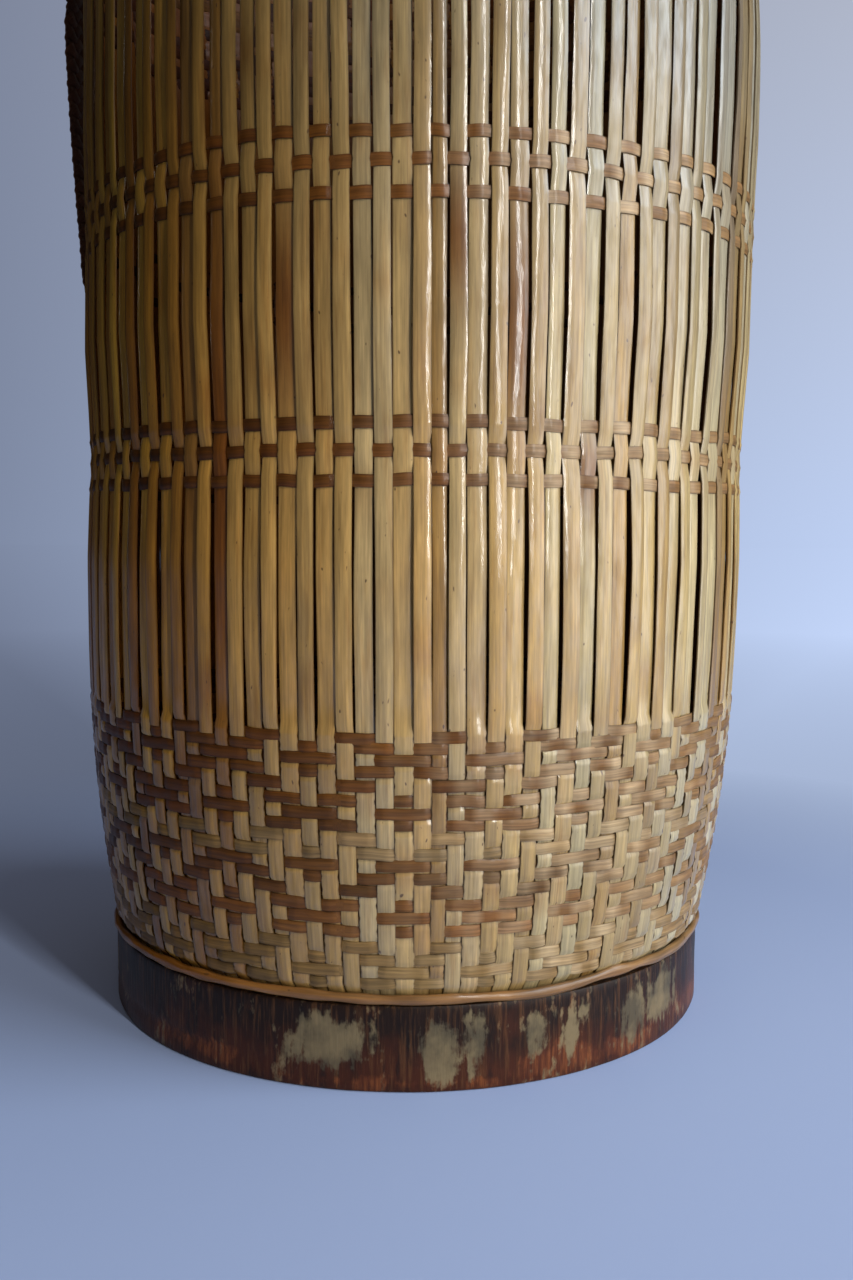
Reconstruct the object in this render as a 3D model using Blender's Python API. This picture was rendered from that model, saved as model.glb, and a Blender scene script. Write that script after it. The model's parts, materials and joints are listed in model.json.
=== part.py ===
"""A tall woven storage basket: split-bamboo stakes, triple cane bands, a wrapped rim, a wood foot hoop and a strap.

Units are metres and +Z is up. The origin is the middle of the ground that the whole part takes up with its strap.
The basket's own axis stands AXIS_X to the right of it. -Y is the front.
The stakes alternate all the way round: "proud" stakes run outside the band wefts, "sunk" stakes run inside them,
and each band's middle weft changes that over, so that every stake is gripped from both sides.
"""

import math

import bmesh
import bpy
from mathutils import Vector

MM = 0.001

# The basket's axis, set off so that the strap on the left reaches as far from the origin as the rim on the right
AXIS_X = 3.47 * MM

# Wall
STAKE_COUNT = 130
STAKE_WIDTH = 4.46 * MM
STAKE_THICKNESS = 0.8 * MM
WEFT_THICKNESS = 0.5 * MM
WEFT_HEIGHT = 3.1 * MM
CLEARANCE = 0.3 * MM
FRONT_SUNK_STAKE_ANGLE = math.radians(-91.4)

# Heights of the wall's parts
WALL_BOTTOM_Z = 12.0 * MM
LOWER_BELT_TOP_Z = 97.0 * MM
UPPER_BELT_BOTTOM_Z = 313.0 * MM
WALL_TOP_Z = 405.0 * MM
LOWER_BAND_Z = (176.6 * MM, 169.9 * MM, 162.3 * MM)
UPPER_BAND_Z = (247.3 * MM, 240.2 * MM, 232.5 * MM)
SPREAD_HEIGHT = 4.0 * MM
SWAP_SLOPE = 3.4 * MM

# Outer radius of the wall
FOOT_SOCKET_RADIUS = 92.2 * MM
SHOULDER_RADIUS = 97.2 * MM
BELT_TOP_RADIUS = 104.8 * MM
WALL_TOP_RADIUS = 105.7 * MM

# Foot
FOOT_HOOP_OUTER_RADIUS = 96.4 * MM
FOOT_HOOP_THICKNESS = 3.8 * MM
FOOT_HOOP_HEIGHT = 24.0 * MM
FOOT_HOOP_EDGE = 0.8 * MM
SCARF_START = math.radians(76)
SCARF_SPAN = math.radians(26)
FEATHER_THICKNESS = 0.5 * MM
INNER_HOOP_THICKNESS = 3.9 * MM
INNER_HOOP_BOTTOM_Z = 0.8 * MM
BASE_THICKNESS = 2.3 * MM
BINDING_HEIGHT = 3.4 * MM
BINDING_THICKNESS = 2.6 * MM

# Rim
RIM_HOOP_THICKNESS = 4.4 * MM
RIM_HOOP_BOTTOM_Z = 388.0 * MM
RIM_CAP_RADIUS = 2.9 * MM
WRAP_THICKNESS = 1.1 * MM

# Strap and the two loops that it hangs in
STRAP_STAKE_STEPS = 45
STRAP_AXIS_STANDOFF = 7.0 * MM
LOWER_LOOP_Z = 186.0 * MM
UPPER_LOOP_Z = 378.0 * MM
LOOP_CANE_RADIUS = 1.2 * MM
EYE_RADIUS = 4.3 * MM
STRAP_BOW = 6.3 * MM
STRAP_BOW_PEAK_Z = 335.0 * MM
STRAP_THICKNESS = 2.0 * MM
STRAP_HALF_WIDTH = 14.0 * MM
EYE_HALF_WIDTH = 2.0 * MM
NECK_HALF_WIDTH = 3.2 * MM
NECK_END = 18.5 * MM
LOWER_FULL_WIDTH_AT = 54.0 * MM
UPPER_FULL_WIDTH_AT = 40.0 * MM
LAP_LENGTH = 19.0 * MM
TIE_SPAN = (10.5 * MM, 17.0 * MM)
TIE_THICKNESS = 1.3 * MM

# Number of sides of the turned pieces
ROUND_SIDES = 64
SMALL_ROUND_SIDES = 48

STAKE_PITCH = 2 * math.pi / STAKE_COUNT
WALL_THICKNESS = 2 * STAKE_THICKNESS + WEFT_THICKNESS + 2 * CLEARANCE

STRAW = (0.60, 0.42, 0.19, 1)
DARK_CANE = (0.16, 0.075, 0.035, 1)
HONEY_CANE = (0.47, 0.25, 0.09, 1)
FOOT_WOOD = (0.065, 0.035, 0.024, 1)
STRAP_BROWN = (0.045, 0.025, 0.017, 1)


def clear_scene():
    for thing in list(bpy.data.objects):
        bpy.data.objects.remove(thing)


def material(name, colour, roughness):
    made = bpy.data.materials.new(name)
    made.use_nodes = True
    shader = made.node_tree.nodes["Principled BSDF"]
    shader.inputs["Base Color"].default_value = colour
    shader.inputs["Roughness"].default_value = roughness
    shader.inputs["Metallic"].default_value = 0.0
    return made


def add_object(name, mesh, finish, smooth_angle=40):
    """Puts a mesh in the scene under its own name, with its own material, and rounds its shading."""
    thing = bpy.data.objects.new(name, mesh)
    bpy.context.scene.collection.objects.link(thing)
    mesh.materials.append(finish)
    mesh.shade_smooth()
    mesh.set_sharp_from_angle(angle=math.radians(smooth_angle))
    return thing


def mesh_from(name, vertices, faces):
    """A closed mesh whose faces all point out."""
    mesh = bpy.data.meshes.new(name)
    mesh.from_pydata(vertices, [], faces)
    work = bmesh.new()
    work.from_mesh(mesh)
    bmesh.ops.recalc_face_normals(work, faces=work.faces)
    work.to_mesh(mesh)
    work.free()
    return mesh


def turned(name, profile, sides, finish, first_angle=0.0):
    """A ring: the closed profile of (radius, height) points is spun round the vertical axis."""
    work = bmesh.new()
    corners = [
        work.verts.new((r * math.cos(first_angle), r * math.sin(first_angle), z)) for r, z in profile
    ]
    count = len(corners)
    edges = [work.edges.new((corners[i], corners[(i + 1) % count])) for i in range(count)]
    bmesh.ops.spin(
        work, geom=edges, cent=(0, 0, 0), axis=(0, 0, 1), angle=2 * math.pi, steps=sides, use_merge=True
    )
    bmesh.ops.remove_doubles(work, verts=work.verts, dist=1e-7)
    bmesh.ops.recalc_face_normals(work, faces=work.faces)
    mesh = bpy.data.meshes.new(name)
    work.to_mesh(mesh)
    work.free()
    return add_object(name, mesh, finish)


def oval_profile(radius, height, half_width, half_height, points, start=0.0):
    """Points round an oval, for the section of a cane."""
    turn = 2 * math.pi / points
    return [
        (
            radius + half_width * math.cos(start + i * turn),
            height + half_height * math.sin(start + i * turn),
        )
        for i in range(points)
    ]


def lofted(name, sections, finish, closed=False, smooth_angle=40):
    """Joins equal rings of points into one skin, and closes its two ends unless the loft runs in a circle."""
    count = len(sections[0])
    vertices = [point for section in sections for point in section]
    faces = []
    last = len(sections) if closed else len(sections) - 1
    for s in range(last):
        here = s * count
        there = ((s + 1) % len(sections)) * count
        for i in range(count):
            j = (i + 1) % count
            faces.append((here + i, here + j, there + j, there + i))
    if not closed:
        faces.append(tuple(range(count)))
        faces.append(tuple(len(vertices) - count + i for i in range(count)))
    return add_object(name, mesh_from(name, vertices, faces), finish, smooth_angle)


def round_point(radius, angle, height):
    return (radius * math.cos(angle), radius * math.sin(angle), height)


def blend(a, b, share):
    return a + (b - a) * share


def wall_radius(z):
    """Outer face of the proud stakes between the two dense belts."""
    share = (z - LOWER_BELT_TOP_Z) / (WALL_TOP_Z - LOWER_BELT_TOP_Z)
    return blend(BELT_TOP_RADIUS, WALL_TOP_RADIUS, share)


def stake_angle(index):
    """Centre of a stake. Odd stakes are the sunk ones, and stake 3 is the one at the front."""
    return FRONT_SUNK_STAKE_ANGLE + (index - 3) * STAKE_PITCH


def lower_belt_levels():
    """Radius and height of the dense lower belt: a socket inside the foot hoop, a shoulder, then a swelling cup."""
    return [
        (FOOT_SOCKET_RADIUS, WALL_BOTTOM_Z),
        (FOOT_SOCKET_RADIUS, FOOT_HOOP_HEIGHT + CLEARANCE),
        (SHOULDER_RADIUS, 29.2 * MM),
        (99.9 * MM, 45.0 * MM),
        (103.0 * MM, 68.0 * MM),
        (BELT_TOP_RADIUS, LOWER_BELT_TOP_Z),
    ]


def upper_belt_levels():
    return [(wall_radius(z), z) for z in (UPPER_BELT_BOTTOM_Z, WALL_TOP_Z)]


def proud_stations():
    """(height, depth of the stake's outer face below the wall's outer face) up a proud stake."""
    return [(LOWER_BELT_TOP_Z + SPREAD_HEIGHT, 0.0), (UPPER_BELT_BOTTOM_Z - SPREAD_HEIGHT, 0.0)]


def sunk_stations():
    """A sunk stake runs behind the outer two wefts of each band and comes forward over the middle one."""
    sunk = STAKE_THICKNESS + WEFT_THICKNESS + 2 * CLEARANCE
    forward = -sunk
    stations = [(LOWER_BELT_TOP_Z + SPREAD_HEIGHT, sunk)]
    for band in (LOWER_BAND_Z, UPPER_BAND_Z):
        middle = band[1]
        flat = WEFT_HEIGHT / 2 + CLEARANCE / 2
        stations += [
            (middle - flat - SWAP_SLOPE, sunk),
            (middle - flat, forward),
            (middle + flat, forward),
            (middle + flat + SWAP_SLOPE, sunk),
        ]
    stations.append((UPPER_BELT_BOTTOM_Z - SPREAD_HEIGHT, sunk))
    return stations


def stake_section(angle, z, depth):
    """The four corners of a stake at one height: outer pair, then inner pair."""
    outer = wall_radius(z) - depth
    inner = outer - STAKE_THICKNESS
    half = STAKE_WIDTH / 2 / wall_radius(z)
    return [
        round_point(outer, angle - half, z),
        round_point(outer, angle + half, z),
        round_point(inner, angle + half, z),
        round_point(inner, angle - half, z),
    ]


def belt_vertices(levels):
    """Each stake boundary gets an outer and an inner point at each level."""
    vertices = []
    for radius, z in levels:
        for i in range(STAKE_COUNT):
            edge = stake_angle(i) - STAKE_PITCH / 2
            vertices.append(round_point(radius, edge, z))
            vertices.append(round_point(radius - WALL_THICKNESS, edge, z))
    return vertices


def belt_corner(start, level, stake, inner):
    return start + 2 * (level * STAKE_COUNT + stake % STAKE_COUNT) + inner


def belt_faces(start, level_count):
    faces = []
    for level in range(level_count - 1):
        for i in range(STAKE_COUNT):
            for inner in (0, 1):
                faces.append(
                    (
                        belt_corner(start, level, i, inner),
                        belt_corner(start, level, i + 1, inner),
                        belt_corner(start, level + 1, i + 1, inner),
                        belt_corner(start, level + 1, i, inner),
                    )
                )
    return faces


def belt_edge_section(start, level, stake):
    """The belt's own four corners under or over a stake, in the order of stake_section."""
    return [
        belt_corner(start, level, stake, 0),
        belt_corner(start, level, stake + 1, 0),
        belt_corner(start, level, stake + 1, 1),
        belt_corner(start, level, stake, 1),
    ]


def make_wall(finish):
    """The stakes with the two dense belts that hold them: open slits all round between the belts."""
    lower, upper = lower_belt_levels(), upper_belt_levels()
    vertices = belt_vertices(lower)
    upper_start = len(vertices)
    vertices += belt_vertices(upper)
    faces = belt_faces(0, len(lower)) + belt_faces(upper_start, len(upper))
    for i in range(STAKE_COUNT):
        faces.append(tuple(belt_edge_section(0, 0, i)))
        faces.append(tuple(belt_edge_section(upper_start, len(upper) - 1, i)))
        stations = sunk_stations() if i % 2 else proud_stations()
        sections = [belt_edge_section(0, len(lower) - 1, i)]
        for z, depth in stations:
            first = len(vertices)
            vertices += stake_section(stake_angle(i), z, depth)
            sections.append([first, first + 1, first + 2, first + 3])
        sections.append(belt_edge_section(upper_start, 0, i))
        for here, there in zip(sections, sections[1:]):
            for a in range(4):
                b = (a + 1) % 4
                faces.append((here[a], here[b], there[b], there[a]))
    return add_object("stake_wall", mesh_from("stake_wall", vertices, faces), finish, smooth_angle=30)


def make_band(name, heights, finish):
    """Three flat cane hoops. The outer two pass behind the proud stakes, the middle one passes before them."""
    for place, z in zip(("top", "middle", "bottom"), heights):
        if place == "middle":
            inner = wall_radius(z) + CLEARANCE
            first_angle = stake_angle(0)
        else:
            inner = wall_radius(z) - STAKE_THICKNESS - CLEARANCE - WEFT_THICKNESS
            first_angle = stake_angle(1)
        low, high = z - WEFT_HEIGHT / 2, z + WEFT_HEIGHT / 2
        outer = inner + WEFT_THICKNESS
        profile = [(inner, low), (outer, low), (outer, high), (inner, high)]
        turned(f"{name}_{place}_weft", profile, STAKE_COUNT // 2, finish, first_angle)


def foot_section(angle, inner, outer):
    edge = min(FOOT_HOOP_EDGE, (outer - inner) / 2)
    top = FOOT_HOOP_HEIGHT
    outline = [(inner, 0), (outer - edge, 0), (outer, edge), (outer, top - edge), (outer - edge, top), (inner, top)]
    return [round_point(r, angle, z) for r, z in outline]


def make_foot_hoop(finish):
    """A strip of wood bent round until its thinned ends lap at the back, the outer end over the inner one."""
    outer_face = FOOT_HOOP_OUTER_RADIUS
    inner_face = outer_face - FOOT_HOOP_THICKNESS
    step = 2 * math.pi / ROUND_SIDES
    ramp = step / 2
    lap_end = SCARF_START + SCARF_SPAN

    def lap_line(angle):
        """Radius of the face where the lapped ends meet, seen from the inner end."""
        share = (angle - SCARF_START) / SCARF_SPAN
        return blend(inner_face + FEATHER_THICKNESS, outer_face - FEATHER_THICKNESS - CLEARANCE, share)

    sections = []
    angle = SCARF_START
    while angle < lap_end - 1e-9:
        sections.append(foot_section(angle, inner_face, lap_line(angle)))
        angle += step
    sections.append(foot_section(lap_end, inner_face, lap_line(lap_end)))
    angle = lap_end + ramp
    while angle < SCARF_START + 2 * math.pi - ramp:
        sections.append(foot_section(angle, inner_face, outer_face))
        angle += step
    angle = SCARF_START + 2 * math.pi - ramp
    sections.append(foot_section(angle, inner_face, outer_face))
    angle = SCARF_START
    while angle < lap_end - 1e-9:
        sections.append(foot_section(angle, lap_line(angle) + CLEARANCE, outer_face))
        angle += step
    sections.append(foot_section(lap_end, lap_line(lap_end) + CLEARANCE, outer_face))
    return lofted("foot_hoop", sections, finish, smooth_angle=30)


def make_foot_details(wood, cane, bamboo):
    inner_hoop_outer = FOOT_HOOP_OUTER_RADIUS - FOOT_HOOP_THICKNESS - CLEARANCE
    base_bottom = WALL_BOTTOM_Z - CLEARANCE - BASE_THICKNESS
    hoop_top = base_bottom - CLEARANCE
    hoop_inner = inner_hoop_outer - INNER_HOOP_THICKNESS
    profile = [
        (hoop_inner, INNER_HOOP_BOTTOM_Z),
        (inner_hoop_outer, INNER_HOOP_BOTTOM_Z),
        (inner_hoop_outer, hoop_top),
        (hoop_inner, hoop_top),
    ]
    turned("foot_inner_hoop", profile, SMALL_ROUND_SIDES, wood)

    base = bmesh.new()
    bmesh.ops.create_cone(
        base,
        cap_ends=True,
        segments=ROUND_SIDES,
        radius1=FOOT_SOCKET_RADIUS - CLEARANCE,
        radius2=FOOT_SOCKET_RADIUS - CLEARANCE,
        depth=BASE_THICKNESS,
    )
    bmesh.ops.translate(base, verts=base.verts, vec=(0, 0, base_bottom + BASE_THICKNESS / 2))
    mesh = bpy.data.meshes.new("base_mat")
    base.to_mesh(mesh)
    base.free()
    add_object("base_mat", mesh, bamboo)

    binding_z = FOOT_HOOP_HEIGHT + CLEARANCE + BINDING_HEIGHT / 2
    binding_radius = SHOULDER_RADIUS + 0.5 * MM - BINDING_THICKNESS / 2
    profile = oval_profile(binding_radius, binding_z, BINDING_THICKNESS / 2, BINDING_HEIGHT / 2, 6)
    turned("foot_cane_binding", profile, ROUND_SIDES, cane)


def make_rim(wood, cane):
    """Two hoops clamp the stakes' tops, a round cane caps them, and a wound cane sleeve covers all three."""
    wall_outer = WALL_TOP_RADIUS
    wall_inner = wall_outer - WALL_THICKNESS
    low, high = RIM_HOOP_BOTTOM_Z, WALL_TOP_Z - CLEARANCE
    outer_in = wall_outer + 1.5 * CLEARANCE
    outer_out = outer_in + RIM_HOOP_THICKNESS
    inner_out = wall_inner - 1.5 * CLEARANCE
    inner_in = inner_out - RIM_HOOP_THICKNESS
    profile = [(outer_in, low), (outer_out, low), (outer_out, high), (outer_in, high)]
    turned("rim_outer_hoop", profile, SMALL_ROUND_SIDES, wood)
    profile = [(inner_in, low), (inner_out, low), (inner_out, high), (inner_in, high)]
    turned("rim_inner_hoop", profile, SMALL_ROUND_SIDES, wood)

    cap_radius = (outer_out + inner_in) / 2
    cap_z = WALL_TOP_Z + CLEARANCE + RIM_CAP_RADIUS
    profile = oval_profile(cap_radius, cap_z, RIM_CAP_RADIUS, RIM_CAP_RADIUS, 6, math.pi / 2)
    turned("rim_cap_cane", profile, SMALL_ROUND_SIDES, wood)

    bottom = low - WRAP_THICKNESS
    top = cap_z + RIM_CAP_RADIUS + CLEARANCE
    shoulder = high + CLEARANCE
    gap = 1.5 * CLEARANCE
    inside = [
        (outer_out + gap, bottom),
        (outer_out + gap, shoulder),
        (cap_radius + RIM_CAP_RADIUS + gap, top - RIM_CAP_RADIUS * 0.45),
        (cap_radius, top + gap),
        (cap_radius - RIM_CAP_RADIUS - gap, top - RIM_CAP_RADIUS * 0.45),
        (inner_in - gap, shoulder),
        (inner_in - gap, bottom),
    ]
    skin = WRAP_THICKNESS
    outside = [
        (inner_in - gap - skin, bottom),
        (inner_in - gap - skin, shoulder + skin / 2),
        (cap_radius - RIM_CAP_RADIUS - gap - skin / 2, top - RIM_CAP_RADIUS * 0.45 + skin),
        (cap_radius, top + gap + skin),
        (cap_radius + RIM_CAP_RADIUS + gap + skin / 2, top - RIM_CAP_RADIUS * 0.45 + skin),
        (outer_out + gap + skin, shoulder + skin / 2),
        (outer_out + gap + skin, bottom),
    ]
    turned("rim_wrapping", inside + outside, ROUND_SIDES, cane)


def strap_angle():
    """The strap hangs over a sunk stake at the back left, so that its loops reach in between two proud ones."""
    return FRONT_SUNK_STAKE_ANGLE + STRAP_STAKE_STEPS * 2 * STAKE_PITCH


def strap_frame():
    """The strap's axis point on the ground, its outward direction and its sideways direction."""
    angle = strap_angle()
    outward = Vector((math.cos(angle), math.sin(angle), 0))
    sideways = Vector((-math.sin(angle), math.cos(angle), 0))
    axis_radius = wall_radius(LOWER_LOOP_Z) + STRAP_AXIS_STANDOFF
    return outward * axis_radius, outward, sideways


def bow_distance(z):
    """How far the strap's middle line stands outside the axis between its two eyes."""
    end = LOWER_LOOP_Z if z < STRAP_BOW_PEAK_Z else UPPER_LOOP_Z
    share = min(1.0, (z - STRAP_BOW_PEAK_Z) / (end - STRAP_BOW_PEAK_Z))
    return EYE_RADIUS + STRAP_BOW * math.cos(share * math.pi / 2) ** 2


def strap_half_width(z):
    """Narrow in the eyes, a slim neck under the ties, then the full width of the carrying part."""
    reach = min(z - LOWER_LOOP_Z, UPPER_LOOP_Z - z)
    full_width_at = LOWER_FULL_WIDTH_AT if z < STRAP_BOW_PEAK_Z else UPPER_FULL_WIDTH_AT
    if reach <= 0:
        return EYE_HALF_WIDTH
    if reach <= NECK_END:
        return blend(EYE_HALF_WIDTH, NECK_HALF_WIDTH, reach / NECK_END)
    share = min(1.0, (reach - NECK_END) / (full_width_at - NECK_END))
    return blend(NECK_HALF_WIDTH, STRAP_HALF_WIDTH, share * share * (3 - 2 * share))


def strap_end_path(loop_z, upward):
    """(distance, height) points from the lapped end, round the eye, to the start of the carrying part."""
    lap_gap = STRAP_THICKNESS + CLEARANCE
    points = []
    for reach in (LAP_LENGTH, LAP_LENGTH * 0.75, LAP_LENGTH * 0.5):
        z = loop_z + upward * reach
        points.append((bow_distance(z) - lap_gap, z))
    points.append((-EYE_RADIUS * 0.55, loop_z + upward * LAP_LENGTH * 0.26))
    turns = 8
    for i in range(turns + 1):
        angle = math.pi + math.pi * i / turns
        points.append((EYE_RADIUS * math.cos(angle), loop_z + upward * EYE_RADIUS * math.sin(angle)))
    return points


def strap_path():
    """The whole middle line, from the lower lapped end to the upper one."""
    lower = strap_end_path(LOWER_LOOP_Z, 1)
    upper = strap_end_path(UPPER_LOOP_Z, -1)
    steps = 30
    middle = []
    for i in range(1, steps):
        z = blend(LOWER_LOOP_Z, UPPER_LOOP_Z, i / steps)
        middle.append((bow_distance(z), z))
    return lower + middle + list(reversed(upper))


def make_strap(finish, tie_finish):
    """A band swept along its middle line, crowned outside, with its ends turned back through the loops."""
    base, outward, sideways = strap_frame()
    path = strap_path()
    sections = []
    for i, (distance, z) in enumerate(path):
        before = path[max(0, i - 1)]
        after = path[min(len(path) - 1, i + 1)]
        along = Vector((after[0] - before[0], after[1] - before[1])).normalized()
        across = Vector((along.y, -along.x))
        half = strap_half_width(z)
        thick = STRAP_THICKNESS / 2
        section = []
        for side, depth in ((-half, -thick), (half, -thick), (half, thick * 0.3), (0, thick), (-half, thick * 0.3)):
            away = distance + across.x * depth
            height = z + across.y * depth
            section.append(base + outward * away + sideways * side + Vector((0, 0, height)))
        sections.append(section)
    lofted("carrying_strap", sections, finish, smooth_angle=35)
    for name, loop_z, upward in (("strap_tie_lower", LOWER_LOOP_Z, 1), ("strap_tie_upper", UPPER_LOOP_Z, -1)):
        make_strap_tie(name, loop_z, upward, tie_finish)


def make_strap_tie(name, loop_z, upward, finish):
    """A short cane binding round the strap and its turned-back end."""
    base, outward, sideways = strap_frame()
    rings = []
    steps = 2
    for i in range(steps + 1):
        z = loop_z + upward * blend(TIE_SPAN[0], TIE_SPAN[1], i / steps)
        far = bow_distance(z) + STRAP_THICKNESS / 2 + 2 * CLEARANCE
        near = bow_distance(z) - 1.5 * STRAP_THICKNESS - 3 * CLEARANCE
        half = strap_half_width(z) + 2 * CLEARANCE
        rings.append((z, near, far, half))
    vertices = []
    for z, near, far, half in rings:
        for grow in (TIE_THICKNESS, 0):
            for side, away in (
                (-half - grow, near - grow),
                (half + grow, near - grow),
                (half + grow, far + grow),
                (-half - grow, far + grow),
            ):
                vertices.append(base + outward * away + sideways * side + Vector((0, 0, z)))
    faces = []
    for i in range(4):
        j = (i + 1) % 4
        for level in range(steps):
            here, there = level * 8, (level + 1) * 8
            faces.append((here + i, here + j, there + j, there + i))
            faces.append((here + 4 + i, here + 4 + j, there + 4 + j, there + 4 + i))
        last = steps * 8
        faces.append((i, j, 4 + j, 4 + i))
        faces.append((last + i, last + j, last + 4 + j, last + 4 + i))
    thing = add_object(name, mesh_from(name, vertices, faces), finish, smooth_angle=20)
    return thing


def make_strap_loop(name, z, leg_depth, finish):
    """A staple of round cane: two legs come out of the wall and a bar joins them, with the strap's eye round it."""
    angle = strap_angle()
    bar_radius = wall_radius(LOWER_LOOP_Z) + STRAP_AXIS_STANDOFF
    wall = wall_radius(z)
    half = 2 * STAKE_PITCH
    corner = 3.0 * MM
    outward = Vector((math.cos(angle), math.sin(angle), 0))
    sideways = Vector((-math.sin(angle), math.cos(angle), 0))
    spread = wall * math.sin(half)
    leg_start = (wall - leg_depth) * math.cos(half)
    points = [
        (leg_start, -spread),
        (bar_radius - corner, -spread),
        (bar_radius - corner * 0.3, -spread + corner * 0.3),
        (bar_radius, -spread + corner),
        (bar_radius, spread - corner),
        (bar_radius - corner * 0.3, spread - corner * 0.3),
        (bar_radius - corner, spread),
        (leg_start, spread),
    ]
    curve = bpy.data.curves.new(name, "CURVE")
    curve.dimensions = "3D"
    curve.bevel_depth = LOOP_CANE_RADIUS
    curve.bevel_resolution = 2
    curve.use_fill_caps = True
    line = curve.splines.new("POLY")
    line.points.add(len(points) - 1)
    for point, (away, side) in zip(line.points, points):
        place = outward * away + sideways * side
        point.co = (place.x, place.y, z, 1)
    thing = bpy.data.objects.new(name, curve)
    bpy.context.scene.collection.objects.link(thing)
    curve.materials.append(finish)
    return thing


def main():
    clear_scene()
    straw = material("straw_bamboo", STRAW, 0.45)
    dark_cane = material("dark_cane", DARK_CANE, 0.45)
    honey_cane = material("honey_cane", HONEY_CANE, 0.4)
    foot_wood = material("foot_wood", FOOT_WOOD, 0.6)
    hoop_wood = material("hoop_bamboo", HONEY_CANE, 0.5)
    strap_fibre = material("strap_fibre", STRAP_BROWN, 0.6)

    make_wall(straw)
    make_band("lower_band", LOWER_BAND_Z, dark_cane)
    make_band("upper_band", UPPER_BAND_Z, dark_cane)
    make_foot_hoop(foot_wood)
    make_foot_details(foot_wood, honey_cane, straw)
    make_rim(hoop_wood, honey_cane)
    slit_depth = STAKE_THICKNESS + CLEARANCE + WEFT_THICKNESS
    make_strap_loop("strap_loop_lower", LOWER_LOOP_Z, slit_depth, dark_cane)
    make_strap_loop("strap_loop_upper", UPPER_LOOP_Z, -CLEARANCE, dark_cane)
    make_strap(strap_fibre, dark_cane)
    for thing in bpy.data.objects:
        thing.location.x = AXIS_X


main()
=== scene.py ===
"""Looks, light and camera for the woven storage basket.

Every strand is its own geometry: 130 split stakes, the wefts of two dense twill belts, the six wefts of the
two open bands, a cane-wound rim, a plaited strap and a worn wooden foot hoop.
"""

import json
import math
from collections import namedtuple

import bpy
import numpy as np
from mathutils import Matrix, Vector

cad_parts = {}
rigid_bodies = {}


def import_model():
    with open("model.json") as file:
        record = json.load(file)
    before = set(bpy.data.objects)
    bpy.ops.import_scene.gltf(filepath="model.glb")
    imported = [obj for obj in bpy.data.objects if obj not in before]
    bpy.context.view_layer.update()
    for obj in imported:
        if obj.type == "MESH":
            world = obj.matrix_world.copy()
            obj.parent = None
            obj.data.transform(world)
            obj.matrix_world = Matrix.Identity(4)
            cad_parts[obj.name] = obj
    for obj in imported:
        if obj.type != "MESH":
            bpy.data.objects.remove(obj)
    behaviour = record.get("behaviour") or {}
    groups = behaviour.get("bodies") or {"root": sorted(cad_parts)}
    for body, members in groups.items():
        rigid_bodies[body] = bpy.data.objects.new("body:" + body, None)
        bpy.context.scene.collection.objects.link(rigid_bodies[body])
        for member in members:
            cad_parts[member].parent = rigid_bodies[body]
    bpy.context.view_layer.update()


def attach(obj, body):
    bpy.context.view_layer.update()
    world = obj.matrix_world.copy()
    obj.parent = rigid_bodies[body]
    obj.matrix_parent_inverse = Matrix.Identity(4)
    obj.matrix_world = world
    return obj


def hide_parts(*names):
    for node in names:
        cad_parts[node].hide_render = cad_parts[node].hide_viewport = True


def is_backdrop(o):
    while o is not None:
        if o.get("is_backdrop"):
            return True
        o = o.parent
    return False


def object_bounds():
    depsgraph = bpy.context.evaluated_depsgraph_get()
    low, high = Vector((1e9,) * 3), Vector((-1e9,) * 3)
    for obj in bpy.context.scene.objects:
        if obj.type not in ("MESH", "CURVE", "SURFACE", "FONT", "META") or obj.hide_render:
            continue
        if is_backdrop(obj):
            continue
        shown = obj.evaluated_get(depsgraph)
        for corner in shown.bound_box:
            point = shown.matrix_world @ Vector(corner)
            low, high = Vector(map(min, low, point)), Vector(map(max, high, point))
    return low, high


MM = 0.001
TURN = 2 * math.pi

# The basket's own axis: the origin is the middle of the ground that basket and strap take up together
AXIS_X = 3.47 * MM

# Stakes, numbered anticlockwise seen from above; number 3 is the one in front
STAKE_COUNT = 130
STAKES = np.arange(STAKE_COUNT)
ODD_STAKES = STAKES % 2 == 1
PITCH = TURN / STAKE_COUNT
FRONT_STAKE = 3
FRONT_STAKE_ANGLE = math.radians(-91.4)
STAKE_WIDTH = 4.45 * MM
WIDEST_STAKE = 7.9 * MM
STAKE_THICKNESS = 0.85 * MM
STAKE_BOTTOM_Z = 12.4 * MM
STAKE_TOP_Z = 404 * MM
WEAVE_DEPTH = 1.25 * MM

# The front stakes turn a little with height, and some are pushed aside: stake, and how far in pitches
STAKE_TWIST = 0.185
TWIST_START_Z = 106 * MM
TWIST_END_Z = 300 * MM
PUSHED_STAKES = (
    (3, 0), (4, -0.05), (5, -0.2), (6, -0.32), (9, -0.3), (12, -0.32),
    (13, -0.3), (15, -0.25), (18, -0.18), (20, -0.24), (24, 0),
)

# Stakes slide sideways, the calm ones in front less than the others
WALL_RADIUS = 105 * MM
LOOSE_SPREAD = 0.5 * MM
CALM_STAKES = (-6, 15)
CALM_SLIDE = 0.12
FREE_SLIDE = 0.42

# Every odd stake stands further in and is wider, most of all at the back, and some differ by a share
SUNK_STAKE_EXTRA = 0.42 * MM
BACK_STAKE_EXTRA = 2.9 * MM
BACK_HELD_EXTRA = 0.6 * MM
UNEVEN_STAKES = {3: 1.06, 5: 0.8, 7: 1.04, 9: 0.92, 11: 0.86, 13: 1.05, 14: 1.1, 129: 0.97}
WIDER_AT_RIGHT = 0.05
NARROWER_AT_LEFT = 0.1
NARROWED_TOP = 0.08
NARROWED_Z = (200 * MM, 260 * MM)

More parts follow.
